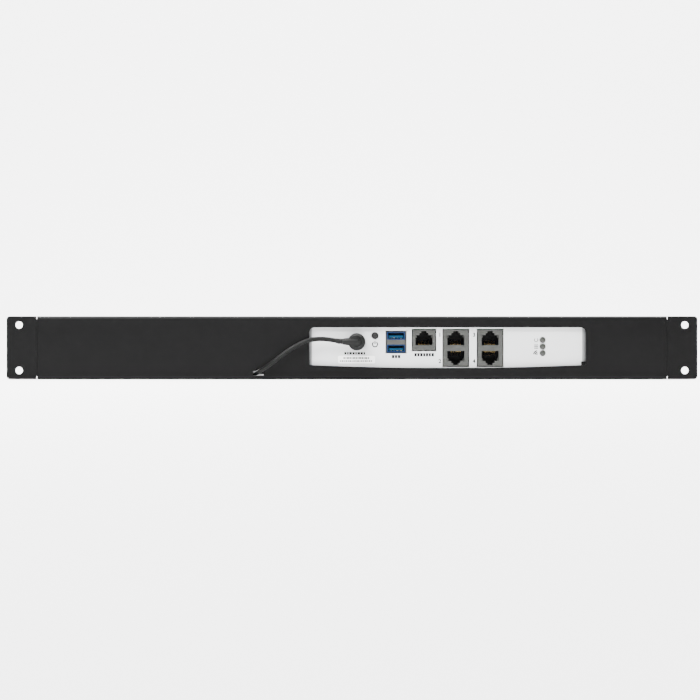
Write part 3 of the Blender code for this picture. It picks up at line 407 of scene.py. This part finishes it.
def box(name, x, y, z, edge=0.0, steps=3):
    """A block between pairs of places, with rounded edges."""
    shape = bmesh.new()
    bmesh.ops.create_cube(shape, size=1.0)
    sizes = [(high - low) * MM for low, high in (x, y, z)]
    bmesh.ops.scale(shape, vec=sizes, verts=shape.verts)
    if edge:
        bmesh.ops.bevel(
            shape, geom=shape.edges[:], offset=edge * MM, segments=steps, profile=0.5, affect="EDGES"
        )
    middle = [(low + high) / 2 * MM for low, high in (x, y, z)]
    bmesh.ops.translate(shape, vec=middle, verts=shape.verts)
    return shaped(name, shape)


def turned(name, profile, centre, axis, steps):
    """A solid of revolution about an axis through a point. The profile is (radius, height) pairs from the
    top of its axis, down its outer side, to the bottom of its axis."""
    shape = bmesh.new()
    turn = Vector((0, 0, 1)).rotation_difference(Vector(axis))
    rings = []
    for radius, height in profile:
        count = steps if radius > 0 else 1
        ring = []
        for i in range(count):
            a = 2 * math.pi * i / steps
            point = turn @ Vector((radius * math.cos(a), radius * math.sin(a), height))
            ring.append(shape.verts.new((point + Vector(centre)) * MM))
        rings.append(ring)
    for upper, lower in zip(rings, rings[1:]):
        for i in range(steps):
            j = i + 1
            corners = [upper[i % len(upper)], lower[i % len(lower)]]
            corners += [lower[j % len(lower)], upper[j % len(upper)]]
            shape.faces.new(list(dict.fromkeys(corners)))
    bmesh.ops.recalc_face_normals(shape, faces=shape.faces)
    return shaped(name, shape)


def arc(centre, radius, start, end, steps):
    """Points on an arc, between two angles in degrees."""
    turns = [math.radians(start + (end - start) * i / steps) for i in range(steps + 1)]
    return [(centre[0] + radius * math.cos(t), centre[1] + radius * math.sin(t)) for t in turns]


def plate(name, outlines, y):
    """A flat sheet facing the front, between two values of Y. Outlines inside others are holes."""
    curve = bpy.data.curves.new(name, "CURVE")
    curve.dimensions = "2D"
    curve.fill_mode = "BOTH"
    curve.extrude = (y[1] - y[0]) / 2 * MM
    for outline in outlines:
        spline = curve.splines.new("POLY")
        spline.points.add(len(outline) - 1)
        for point, (u, v) in zip(spline.points, outline):
            point.co = (u * MM, v * MM, 0, 1)
        spline.use_cyclic_u = True
    drawn = loose(name + "_curve", curve)
    drawn.location.y = sum(y) / 2 * MM
    drawn.rotation_euler = (math.radians(90), 0.0, 0.0)
    bpy.context.view_layer.update()
    mesh = bpy.data.meshes.new_from_object(drawn.evaluated_get(bpy.context.evaluated_depsgraph_get()))
    mesh.transform(drawn.matrix_world)
    bpy.data.objects.remove(drawn, do_unlink=True)
    return loose(name, welded(mesh))


def combined(body, others, operation):
    """Cuts other objects from a body, or joins them to it, and removes them."""
    for other in others:
        step = body.modifiers.new(other.name, "BOOLEAN")
        step.operation = operation
        step.solver = "EXACT"
        step.object = other
    settle(body)
    for other in others:
        bpy.data.objects.remove(other, do_unlink=True)
    return body


def cut(body, *others):
    return combined(body, others, "DIFFERENCE")


def join(body, *others):
    return combined(body, others, "UNION")


def gathered(name, objects):
    """Several objects' meshes in one, as separate bodies."""
    shape = bmesh.new()
    for one in objects:
        one.data.transform(one.matrix_world)
        shape.from_mesh(one.data)
        bpy.data.objects.remove(one, do_unlink=True)
    return shaped(name, shape)


def wires(name, paths, radius, sides=2):
    """Round wires along lists of points, as one curve."""
    curve = bpy.data.curves.new(name, "CURVE")
    curve.dimensions = "3D"
    curve.bevel_depth = radius * MM
    curve.bevel_resolution = sides
    curve.use_fill_caps = True
    for path in paths:
        spline = curve.splines.new("POLY")
        spline.points.add(len(path) - 1)
        for point, place in zip(spline.points, path):
            point.co = (*[value * MM for value in place], 1)
    return loose(name, curve)


# ---- The lead -----------------------------------------------------------------------------------


def spline_point(a, b, c, d, t):
    """A point between b and c on the centripetal Catmull-Rom curve through four points."""
    knots = [0.0]
    for before, after in ((a, b), (b, c), (c, d)):
        knots.append(knots[-1] + math.sqrt((after - before).length))
    k0, k1, k2, k3 = knots
    k = k1 + (k2 - k1) * t
    ab = a.lerp(b, (k - k0) / (k1 - k0))
    bc = b.lerp(c, (k - k1) / (k2 - k1))
    cd = c.lerp(d, (k - k2) / (k3 - k2))
    abc = ab.lerp(bc, (k - k0) / (k2 - k0))
    bcd = bc.lerp(cd, (k - k1) / (k3 - k1))
    return abc.lerp(bcd, (k - k1) / (k2 - k1))


def smooth_route(points, step):
    """Points a step apart on a smooth curve through the route's points."""
    route = [Vector(point) for point in points]
    ends = [route[0] * 2 - route[1], *route, route[-1] * 2 - route[-2]]
    line = []
    for a, b, c, d in zip(ends, ends[1:], ends[2:], ends[3:]):
        pieces = max(1, round((c - b).length / step))
        line += [spline_point(a, b, c, d, i / pieces) for i in range(pieces)]
    return [*line, route[-1]]


def ease(t):
    """Goes from 0 to 1 with a soft start and end."""
    t = min(1.0, max(0.0, t))
    return t * t * (3 - 2 * t)


def coil_points():
    """The wound surplus: a lower layer wound inwards and an upper one outwards, clockwise from above. The
    last turn comes down outside the others to the floor."""
    centre = [sum(COIL[axis]) / 2 for axis in (0, 1)]
    outer = (COIL[0][1] - COIL[0][0]) / 2 - LEAD_RADIUS
    low = COIL[2][0] + LEAD_RADIUS
    radii = [outer - i * TURN_PITCH for i in range(TURNS)]
    slots = [(r, low) for r in radii] + [(r, low + LAYER_PITCH) for r in reversed(radii)]
    come_in, leave, shift = 62.0, 95.0, 48.0  # degrees that each change of place takes
    first = Vector(REAR_ROUTE[-1][:2]) - Vector(centre)
    last = Vector(FRONT_ROUTE[0][:2]) - Vector(centre)
    whole = 360.0 * (len(slots) - 1) + COIL_START - COIL_END
    steps = round(whole / 15)
    points = []
    for i in range(1, steps):
        wound = whole * i / steps
        turn = int(wound // 360)
        moving = ease((wound - 360 * turn - (360 - shift)) / shift)
        (r0, z0), (r1, z1) = slots[turn], slots[min(turn + 1, len(slots) - 1)]
        radius, z = r0 + (r1 - r0) * moving, z0 + (z1 - z0) * moving
        if z1 > z0:
            radius -= LEAD_RADIUS * math.sin(math.pi * moving)
        if wound < come_in:
            t = ease(wound / come_in)
            radius = first.length + (r0 - first.length) * t
            z = FLOOR_LEAD_Z + (z0 - FLOOR_LEAD_Z) * t
        left = whole - wound
        if left < leave:
            radius += (last.length - radius) * ease((leave - left) / (leave * 0.45))
            z += (FLOOR_LEAD_Z - z) * ease((leave * 0.9 - left) / (leave * 0.85))
        angle = math.radians(COIL_START - wound)
        x, y = centre[0] + radius * math.cos(angle), centre[1] + radius * math.sin(angle)
        points.append((x, y, z))
    return points


def lead():
    """The whole DC lead, from inside its strain relief to inside the plug's neck."""
    inside = (REAR_ROUTE[0][0], REAR_ROUTE[0][1] + 6.0, REAR_ROUTE[0][2] + 0.3)
    neck = (FRONT_ROUTE[-1][0] + 3.5, LEAD_Y, FRONT_ROUTE[-1][2] - 0.5)
    route = [inside, *REAR_ROUTE, *coil_points(), *FRONT_ROUTE, neck]
    made = wires("dc_lead", [smooth_route(route, LEAD_STEP)], LEAD_RADIUS, 5)
    made.data.materials.append(LOOKS["lead_pvc"].material)
    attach(made, "chassis")
    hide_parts("dc_lead_rear", "dc_lead_coil", "dc_lead_front")
    return made


# ---- Rack tray, brackets and screws -------------------------------------------------------------

BRACKETS = ("front_stop_left", "front_stop_right", "rear_retainer", "adapter_clamp")
FLOOR_SCREWS = (
    "front_stop_screw_left",
    "front_stop_screw_right",
    "rear_retainer_screw_left",
    "rear_retainer_screw_right",
    "adapter_clamp_screw_left",
    "adapter_clamp_screw_right",
)
CASE_SCREWS = ("case_screw_left", "case_screw_right")
HEAD_HEIGHT = 2.0
THREAD_PITCH = 0.5
THREAD_DEPTH = 0.13
RECESS_DEPTH = 1.15
RECESS_ARM = (1.7, 0.42)  # half its length and width


def tray():
    """The folded tray and the brackets on its floor."""
    refined("rack_tray", "powder_coat", 0.16)
    for node in BRACKETS:
        refined(node, "powder_coat", 0.14)


def screw(node, axis):
    """A pan-head screw with a cross recess, in its CAD node's place."""
    sizes = span(node)
    head_radius = (sizes[0][1] - sizes[0][0]) / 2
    shank_radius = head_radius / 2
    middle = [sum(pair) / 2 for pair in sizes]
    way = Vector((0, 0, 1)) if axis == 2 else Vector((0, 1, 0))
    middle[axis] = sizes[axis][1]
    length = sizes[axis][1] - sizes[axis][0]
    dome = arc((0.0, -head_radius * 1.6), head_radius * 1.6, 90, 62, 7)
    profile = [(0.0, 0.0), *dome[1:]]
    edge = profile[-1]
    profile += [(head_radius, edge[1] - 0.35), (head_radius, 0.1 - HEAD_HEIGHT)]
    profile += [(head_radius - 0.1, -HEAD_HEIGHT), (shank_radius, -HEAD_HEIGHT)]
    for i in range(int((length - HEAD_HEIGHT) / THREAD_PITCH)):
        z = -HEAD_HEIGHT - i * THREAD_PITCH
        profile.append((shank_radius - THREAD_DEPTH, z - THREAD_PITCH * 0.5))
        profile.append((shank_radius, z - THREAD_PITCH))
    profile.append((0.0, -length))
    made = turned(node + "_turned", profile, middle, way, 32)
    slots = []
    for i, (u, v) in enumerate((RECESS_ARM, RECESS_ARM[::-1])):
        x = (middle[0] - u, middle[0] + u)
        other = (middle[3 - axis] - v, middle[3 - axis] + v)
        deep = (sizes[axis][1] - RECESS_DEPTH, sizes[axis][1] + 1.0)
        ranges = (x, other, deep) if axis == 2 else (x, deep, other)
        slots.append(box(f"{node}_slot_{i}", *ranges))
    cut(made, join(*slots))
    made.name = node + "_fine"
    piece(made, "screw_zinc", 0.06, 1, (node,), angle=50)


# ---- Appliance ----------------------------------------------------------------------------------

INK = (FACE - 0.035, FACE - 0.012)  # where the print on the face lies
LAN_X = [sum(span(f"lan_shield_{side}")[0]) / 2 for side in ("left", "right")]
CONSOLE_X = sum(span("console_shield")[0]) / 2
UPPER_PORT = (23.9, 1)  # the height of its flat side, and the way its latch points
LOWER_PORT = (19.7, -1)
JACKS = {"console": (CONSOLE_X, [UPPER_PORT])}
JACKS.update({f"lan_{side}": (x, [UPPER_PORT, LOWER_PORT]) for side, x in zip(("left", "right"), LAN_X)})
FACE_EDGE = 3.4  # how far the rounding of the face's outer edge reaches in
MARK_GAP = 0.45  # between the bars of a row
WIRE_PITCH = 1.02
WIRE_RADIUS = 0.17
WIRE_LINE = ((6.4, 0.45), (7.2, 0.5), (11.6, 2.7), (13.6, 3.2))  # depth, and height off the flat side
USB_WALL = 0.3
USB_PAD_PITCH = 2.3
LIGHT_DOME = 0.35
BUTTON_RADIUS = 2.25
BUTTON_DISH = 0.28
# Rows of bars where words would be: the left and right ends, height, size and widths of the bars
WORD_MARKS = {
    "plug_mark": (-5.4, 11.2, 18.1, 1.7, (1.5, 1.1, 1.8)),
    "usb_mark": (27.9, 34.4, 15.8, 2.2, (1.7, 1.6, 1.7)),
    "console_mark": (43.7, 57.9, 17.1, 2.3, (1.6, 1.5, 1.7, 1.4)),
}
POWER_MARK_Z = 24.4
RING_MARK_Z = 27.4
LINES_MARK_Z = 22.8
WAVES_MARK_Z = 16.9
NUMBER_Z = (30.9, 12.5)
NUMBER_HEIGHT = 2.7
LABEL_LINES = (
    (-6.0, 12.4, 14.75, 1.2, (1.0, 0.6, 1.3)),
    (-8.4, 14.4, 12.65, 1.0, (0.8, 1.2, 0.6, 1.0)),
)


def case():
    paint_edge_shade(refined("front_bezel", "face_plastic", 0.14, 3))
    refined("case_cover", "shell_paint", 0.12)
    refined("case_base", "shell_paint", 0.12)
    refined("rating_label", "label_film", 0.05)
    refined("heat_sink", "extruded_aluminium", 0.1)
    for row in ("front", "rear"):
        for side in ("left", "right"):
            refined(f"foot_{row}_{side}", "foot_rubber", 0.35, 3)
    for node in CASE_SCREWS:
        screw(node, 1)


def paint_edge_shade(bezel):
    """Paints shade onto the face's turned outer edge: a darker grey than the face, standing for the shade
    the edge lies in.
    """
    bezel.data.materials.append(LOOKS["face_edge_painted_shade"].material)
    x, _, z = [(low + FACE_EDGE, high - FACE_EDGE) for low, high in span("front_bezel")]
    # Faces outside the face's flat middle, and not facing the front, get the painted shade.
    for face in bezel.data.polygons:
        u, _, w = face.center / MM
        inside = x[0] < u < x[1] and z[0] < w < z[1]
        if not inside and face.normal.y > -0.995:
            face.material_index = 1


def jacks():
    """The shielded jacks, each port with its eight spring contacts and its shield's fingers."""
    for jack, (middle, ports) in JACKS.items():
        kind, _, side = jack.partition("_")
        ending = f"_{side}" if side else ""
        refined(f"{kind}_shield{ending}", "plated_steel", 0.14)
        refined(f"{kind}_insert{ending}", "jack_plastic", 0.12)
        paths = []
        for flat_side, way in ports:
            for i in range(8):
                x = middle + (i - 3.5) * WIRE_PITCH
                paths.append([(x, SHIELD_FRONT + y, flat_side + way * z) for y, z in WIRE_LINE])
        piece(settle(wires(f"{jack}_contacts", paths, WIRE_RADIUS)), "contact_gold")
        piece(gathered(f"{jack}_springs", shield_springs(jack, middle, ports)), "plated_steel", 0.05, 1)


def shield_springs(jack, middle, ports):
    """Bent fingers in the two upper corners of each opening, which press on a plug's own shield."""
    made = []
    y = (SHIELD_FRONT + 0.7, SHIELD_FRONT + 5.0)
    for k, (flat_side, way) in enumerate(ports):
        for side in (-1, 1):
            x = sorted((middle + side * 5.8, middle + side * 5.0))
            z = sorted((flat_side + way * 6.8, flat_side + way * 5.2))
            made.append(box(f"{jack}_spring_{k}_{side}", x, y, z, 0.25))
    return made


def usb():
    """Two ports in one shell, each with a blue liner, a tongue whose paler blue is a painted highlight, and
    its contacts.
    """
    refined("usb_shell", "plated_steel", 0.14)
    for level in ("upper", "lower"):
        node = f"usb_insert_{level}"
        x, y, z = span(node)
        x = (x[0] - 0.1, x[1] + 0.1)
        z = (z[0] - 0.1, z[1] + 0.1)
        front = SHIELD_FRONT + 0.5
        liner = box(f"{node}_liner", x, (front, y[1]), z)
        rim_x, rim_z = (x[0] - 0.45, x[1] + 0.45), (z[0] - 0.45, z[1] + 0.4)
        join(liner, box("rim", rim_x, (SHIELD_FRONT - 0.12, front + 0.1), rim_z))
        hollow_x = (x[0] + USB_WALL, x[1] - USB_WALL)
        hollow_z = (z[0] + USB_WALL, z[1] - USB_WALL)
        cut(liner, box("hollow", hollow_x, (front - 1, y[1] - 4), hollow_z))
        piece(liner, "usb_plastic", 0.08, 2, (node,))
        middle = sum(z) / 2 - 0.55
        tongue_x = (x[0] + 0.75, x[1] - 0.75)
        tongue_z = (middle - 0.95, middle + 0.75)
        tongue = box(f"{node}_tongue", tongue_x, (front + 0.4, y[1] - 3.5), tongue_z, 0.3)
        # Its paler blue is a painted highlight.
        piece(tongue, "usb_tongue_painted_highlight")
        pads = []
        pad_y = (front + 1.2, front + 8.0)
        pad_z = (middle - 1.06, middle - 0.85)
        for i in range(4):
            centre = sum(x) / 2 + (i - 1.5) * USB_PAD_PITCH
            pads.append(box("pad", (centre - 0.5, centre + 0.5), pad_y, pad_z, 0.04, 1))
        piece(gathered(f"{node}_contacts", pads), "contact_gold")


def light_pipes():
    """The three status lights' clear rods, with domed ends."""
    for level in ("upper", "middle", "lower"):
        node = f"status_light_{level}"
        x, y, z = span(node)
        radius = (x[1] - x[0]) / 2
        rear = y[0] - y[1]
        turns = [math.radians(a) for a in range(0, 91, 10)]
        dome = [(radius * math.sin(t) * 0.93, LIGHT_DOME * math.cos(t)) for t in turns]
        profile = [*dome, (radius, -0.2), (radius, rear + 0.2), (radius - 0.2, rear), (0.0, rear)]
        made = turned(f"{node}_pipe", profile, (sum(x) / 2, y[0], sum(z) / 2), FRONT_WAY, 40)
        piece(made, "light_pipe", stands_for=(node,), angle=55)


def power_button():
    """A cap with a dished end, the collar that keeps it in, and its stem."""
    x, y, z = BUTTON
    proud, reach = FACE - y[0], y[1] - FACE
    collar, stem = (x[1] - x[0]) / 2, 1.2
    dish = [(r, proud - BUTTON_DISH * (1 - (r / 1.6) ** 2)) for r in (0.0, 0.4, 0.8, 1.2, 1.6)]
    rim = arc((BUTTON_RADIUS - 0.35, proud - 0.35), 0.35, 90, 0, 5)
    profile = [*dish, *rim, (BUTTON_RADIUS, -1.8), (collar, -1.8), (collar, -2.8)]
    profile += [(stem, -2.8), (stem, -reach), (0.0, -reach)]
    made = turned("power_button_cap", profile, (sum(x) / 2, FACE, sum(z) / 2), FRONT_WAY, 48)
    piece(made, "button_plastic", stands_for=("power_button",), body="power_button", angle=50)


def ribbon(centre, radius, width, start, end, steps=28):
    """The outline of an arc of a width."""
    outer = arc(centre, radius + width / 2, start, end, steps)
    inner = arc(centre, radius - width / 2, end, start, steps)
    return outer + inner


def bar(x, z):
    """A rectangle's outline."""
    return [(x[0], z[0]), (x[1], z[0]), (x[1], z[1]), (x[0], z[1])]


def dashes(x_low, x_high, z, height, widths):
    """A row of short bars, standing for a line of print."""
    rows = []
    x, i = x_low, 0
    while x + widths[i % len(widths)] <= x_high:
        width = widths[i % len(widths)]
        rows.append(bar((x, x + width), (z - height / 2, z + height / 2)))
        x += width + MARK_GAP
        i += 1
    return rows


def digit(text, x, z, height):
    """A port's number."""
    curve = bpy.data.curves.new("digit_" + text, "FONT")
    curve.body = text
    curve.size = height / 0.72 * MM
    curve.offset = 0.00012
    curve.extrude = (INK[1] - INK[0]) / 2 * MM
    curve.align_x, curve.align_y = "CENTER", "CENTER"
    made = loose("digit_" + text, curve)
    made.location = (x * MM, sum(INK) / 2 * MM, z * MM)
    made.rotation_euler = (math.radians(90), 0.0, 0.0)
    return settle(made)


def face_marks():
    """What is printed on the face: symbols, port numbers, and rows of bars where words would be."""
    x, z = sum(BUTTON[0]) / 2, POWER_MARK_Z
    stem = bar((x - 0.35, x + 0.35), (z + 0.2, z + 2.3))
    plate_of("power_mark", [ribbon((x, z), 1.75, 0.8, 125, 415), stem])
    for name, words in WORD_MARKS.items():
        plate_of(name, dashes(*words))
    light_x = sum(span("status_light_upper")[0]) / 2 - 4.6
    plate_of("status_ring_mark", [ribbon((light_x, RING_MARK_Z), 1.2, 0.5, 125, 415)], "pale_ink")
    lines = [LINES_MARK_Z + step for step in (-1.1, 0.0, 1.1)]
    rows = [bar((light_x - 1.4, light_x + 1.4), (z - 0.3, z + 0.3)) for z in lines]
    plate_of("status_lines_mark", rows, "pale_ink")
    waves = [ribbon((light_x + 1.2, WAVES_MARK_Z), r, 0.75, 100, 170, 10) for r in (0.8, 1.9, 3.0)]
    plate_of("status_waves_mark", waves)
    numbers = []
    for i, middle in enumerate(LAN_X):
        for row, z in enumerate(NUMBER_Z):
            numbers.append(digit(str(2 * i + row + 1), middle - 11.2, z, NUMBER_HEIGHT))
    piece(gathered("port_numbers", numbers), "printed_ink")
    y = (LABEL[1][0] - 0.03, LABEL[1][0] - 0.008)
    rows = [outline for words in LABEL_LINES for outline in dashes(*words)]
    piece(plate("label_print", rows, y), "printed_ink")


def plate_of(name, outlines, look="printed_ink"):
    piece(plate(name, outlines, INK), look)


KEPT = {
    "main_board": "solder_mask",
    "adapter_board": "solder_mask",
    "coin_cell": "plated_steel",
    "adapter_transformer": "plated_steel",
    "processor": "jack_plastic",
    "memory_chip": "jack_plastic",
    "input_capacitor": "jack_plastic",
    "dc_jack": "jack_plastic",
    "dc_jack_pin": "screw_zinc",
    "power_switch": "jack_plastic",
    "status_light_holder": "jack_plastic",
    "board_screw_front_left": "screw_zinc",
    "board_screw_front_right": "screw_zinc",
    "board_screw_rear_left": "screw_zinc",
    "board_screw_rear_right": "screw_zinc",
}


def kept_nodes():
    """CAD nodes that show as they are, with a material each."""
    for node, look in KEPT.items():
        slots = NODES[node].data.materials
        slots.clear()
        slots.append(LOOKS[look].material)


# ---- Power adapter ------------------------------------------------------------------------------


def adapter():
    """The adapter's two shells, and its three-pin inlet in the far end."""
    refined("adapter_base", "adapter_plastic", 0.3, 3)
    refined("adapter_cover", "adapter_plastic", 0.3, 3)
    x, y, z = span("mains_inlet")
    middle, level = sum(x) / 2, sum(z) / 2
    housing = box("inlet_housing", x, y, z)
    wide, high, deep, chamfer = 24.4, 16.4, 15.0, 3.4
    outline = [
        (middle - wide / 2, level - high / 2),
        (middle + wide / 2, level - high / 2),
        (middle + wide / 2, level + high / 2 - chamfer),
        (middle + wide / 2 - chamfer, level + high / 2),
        (middle - wide / 2 + chamfer, level + high / 2),
        (middle - wide / 2, level + high / 2 - chamfer),
    ]
    cut(housing, plate("recess", [outline], (y[1] - deep, y[1] + 1)))
    piece(housing, "jack_plastic", 0.25, 3, ("mains_inlet",))
    blades = []
    for dx, dz in ((-7.0, -1.0), (0.0, 4.0), (7.0, -1.0)):
        blade_x = (middle + dx - 1, middle + dx + 1)
        blade_z = (level + dz - 2, level + dz + 2)
        blades.append(box("blade", blade_x, (y[1] - deep - 1, y[1] - 2), blade_z, 0.5, 3))
    piece(gathered("inlet_blades", blades), "screw_zinc")


# ---- What is on the lead ------------------------------------------------------------------------


PLUG_RADIUS = 6.1
PLUG_HUMP_RADIUS = 2.6
ALONG_LEAD = (1, 0, -0.02)  # the lead's way into the neck
BARREL_LINE = (
    (0.0, -8.0),
    (1.25, -8.0),
    (1.25, 1.0),
    (1.4, 1.4),
    (2.5, 1.4),
    (2.75, 1.1),
    (2.75, -8.6),
    (0.0, -8.6),
)


def plug():
    """The right-angle plug: a round moulded head with a hump that runs on from its ribbed neck."""
    x, y, z = PLUG
    radius = PLUG_RADIUS
    middle_x, middle_z = x[1] - radius, sum(z) / 2
    back, front = FACE - 0.5, y[0] + 0.8
    rim = arc((radius - 1.7, back - front - 1.7), 1.7, 90, 0, 7)
    profile = [(0.0, back - front), *rim, (radius, 0.4), (radius - 0.4, 0.0), (0.0, 0.0)]
    head = turned("dc_plug_head", profile, (middle_x, back, middle_z), FRONT_WAY, 64)
    hump_y = y[0] + 2.75
    hump_line = [(0.0, 7.4), *arc((0.0, 4.8), PLUG_HUMP_RADIUS, 90, 0, 8)[1:], (PLUG_HUMP_RADIUS, -1.2)]
    hump_line += [(2.45, -3.0), (2.1, -5.2), (0.0, -5.2)]
    hump = turned("hump", hump_line, (middle_x - 4.6, hump_y, middle_z + 0.1), ALONG_LEAD, 40)
    grip = ridge("grip", (middle_x, front + 0.05, middle_z), 4.35, 0.42, -118, 118)
    groove = ridge("groove", (middle_x, front - 0.05, middle_z), 3.4, 0.5, -100, 100)
    join(head, hump, grip)
    cut(head, groove)
    voxels = head.modifiers.new("voxels", "REMESH")
    voxels.mode = "VOXEL"
    voxels.voxel_size = 0.2 * MM
    smoothing = head.modifiers.new("smoothing", "SMOOTH")
    smoothing.factor, smoothing.iterations = 0.5, 6
    piece(head, "plug_pvc", stands_for=("dc_plug",), angle=80)
    ribs = [(0.0, 5.6), (2.9, 5.6)]
    for i in range(4):
        at, wide = 4.4 - i * 1.5, 2.4 - i * 0.12
        ribs += [(wide, at), (wide - 0.05, at - 0.8), (wide - 0.2, at - 0.95), (wide - 0.22, at - 1.3)]
    ribs += [(2.0, -1.9), (1.85, -2.2), (0.0, -2.2)]
    neck = turned("dc_plug_neck", ribs, (x[0] + 2.2, LEAD_Y, middle_z + 0.28), ALONG_LEAD, 40)
    piece(neck, "plug_pvc", 0.1, 2, angle=30)
    covered = smooth_route(FRONT_ROUTE[-3:], 0.8)
    covered = [point for point in covered if point.x > x[0] - SLEEVE]
    tapered = wires("dc_plug_sleeve", [covered], LEAD_RADIUS, 6)
    widths = [1.04 + 0.18 * i / (len(covered) - 1) for i in range(len(covered))]
    tapered.data.splines[0].points.foreach_set("radius", widths)
    sleeve = piece(settle(tapered), "plug_pvc", angle=50)
    barrel = turned("dc_plug_barrel", BARREL_LINE, (middle_x, back + 8.6, middle_z), (0, 1, 0), 40)
    piece(barrel, "screw_zinc", angle=40)
    return [head, neck, sleeve, barrel]


def ridge(name, centre, radius, thickness, start, end):
    """A round bar bent along an arc that faces the front."""
    line = arc((0.0, 0.0), radius, start, end, 24)
    path = [(centre[0] + u, centre[1], centre[2] + v) for u, v in line]
    made = settle(wires(name, [path], thickness, 3))
    welded(made.data)
    return made


def strain_relief():
    """A tapered sleeve of rings joined by a thinner core."""
    x, y, z = RELIEF
    length = y[1] - y[0]
    flange, root = (x[1] - x[0]) / 2, 3.0
    profile = [(0.0, length), (1.7, length), (2.2, length - 0.5)]
    rings, first, last = 7, length - 1.4, 7.0
    for i in range(rings):
        at = first + (last - first) * i / (rings - 1)
        wide = 2.2 + (root - 2.25) * i / (rings - 1)
        profile += [(wide, at), (wide, at - 1.5), (wide - 0.4, at - 1.7), (wide - 0.4, at - 2.3)]
    profile += [(root, 4.4), (root, 2.0), (flange, 2.0), (flange, 0.0), (0.0, 0.0)]
    centre = (sum(x) / 2, y[1], sum(z) / 2)
    made = turned("lead_strain_relief_sleeve", profile, centre, FRONT_WAY, 40)
    return piece(made, "plug_pvc", 0.12, 2, ("lead_strain_relief",), angle=30)


def coil_tie():
    """A strip of hook-and-loop tape round the wound lead, with its end lapped over on top."""
    strap = refined("coil_tie", "strap_fabric", 0.3, 3)
    x, y, z = span("coil_tie")
    lap_y, lap_z = (y[0] + 0.3, y[1] - 0.3), (z[1] + 0.02, z[1] + 0.82)
    lap = box("coil_tie_lap", (x[0] + 2.5, x[1] - 1.5), lap_y, lap_z, 0.3)
    return [strap, piece(lap, "strap_fabric")]


# ---- The scene ----------------------------------------------------------------------------------

LOOKS = make_looks()
camera()
lights()
stage()
tray()
for node in FLOOR_SCREWS:
    screw(node, 2)
case()
jacks()
usb()
light_pipes()
power_button()
face_marks()
kept_nodes()
adapter()
on_the_lead = [*plug(), strain_relief(), *coil_tie()]
lead()
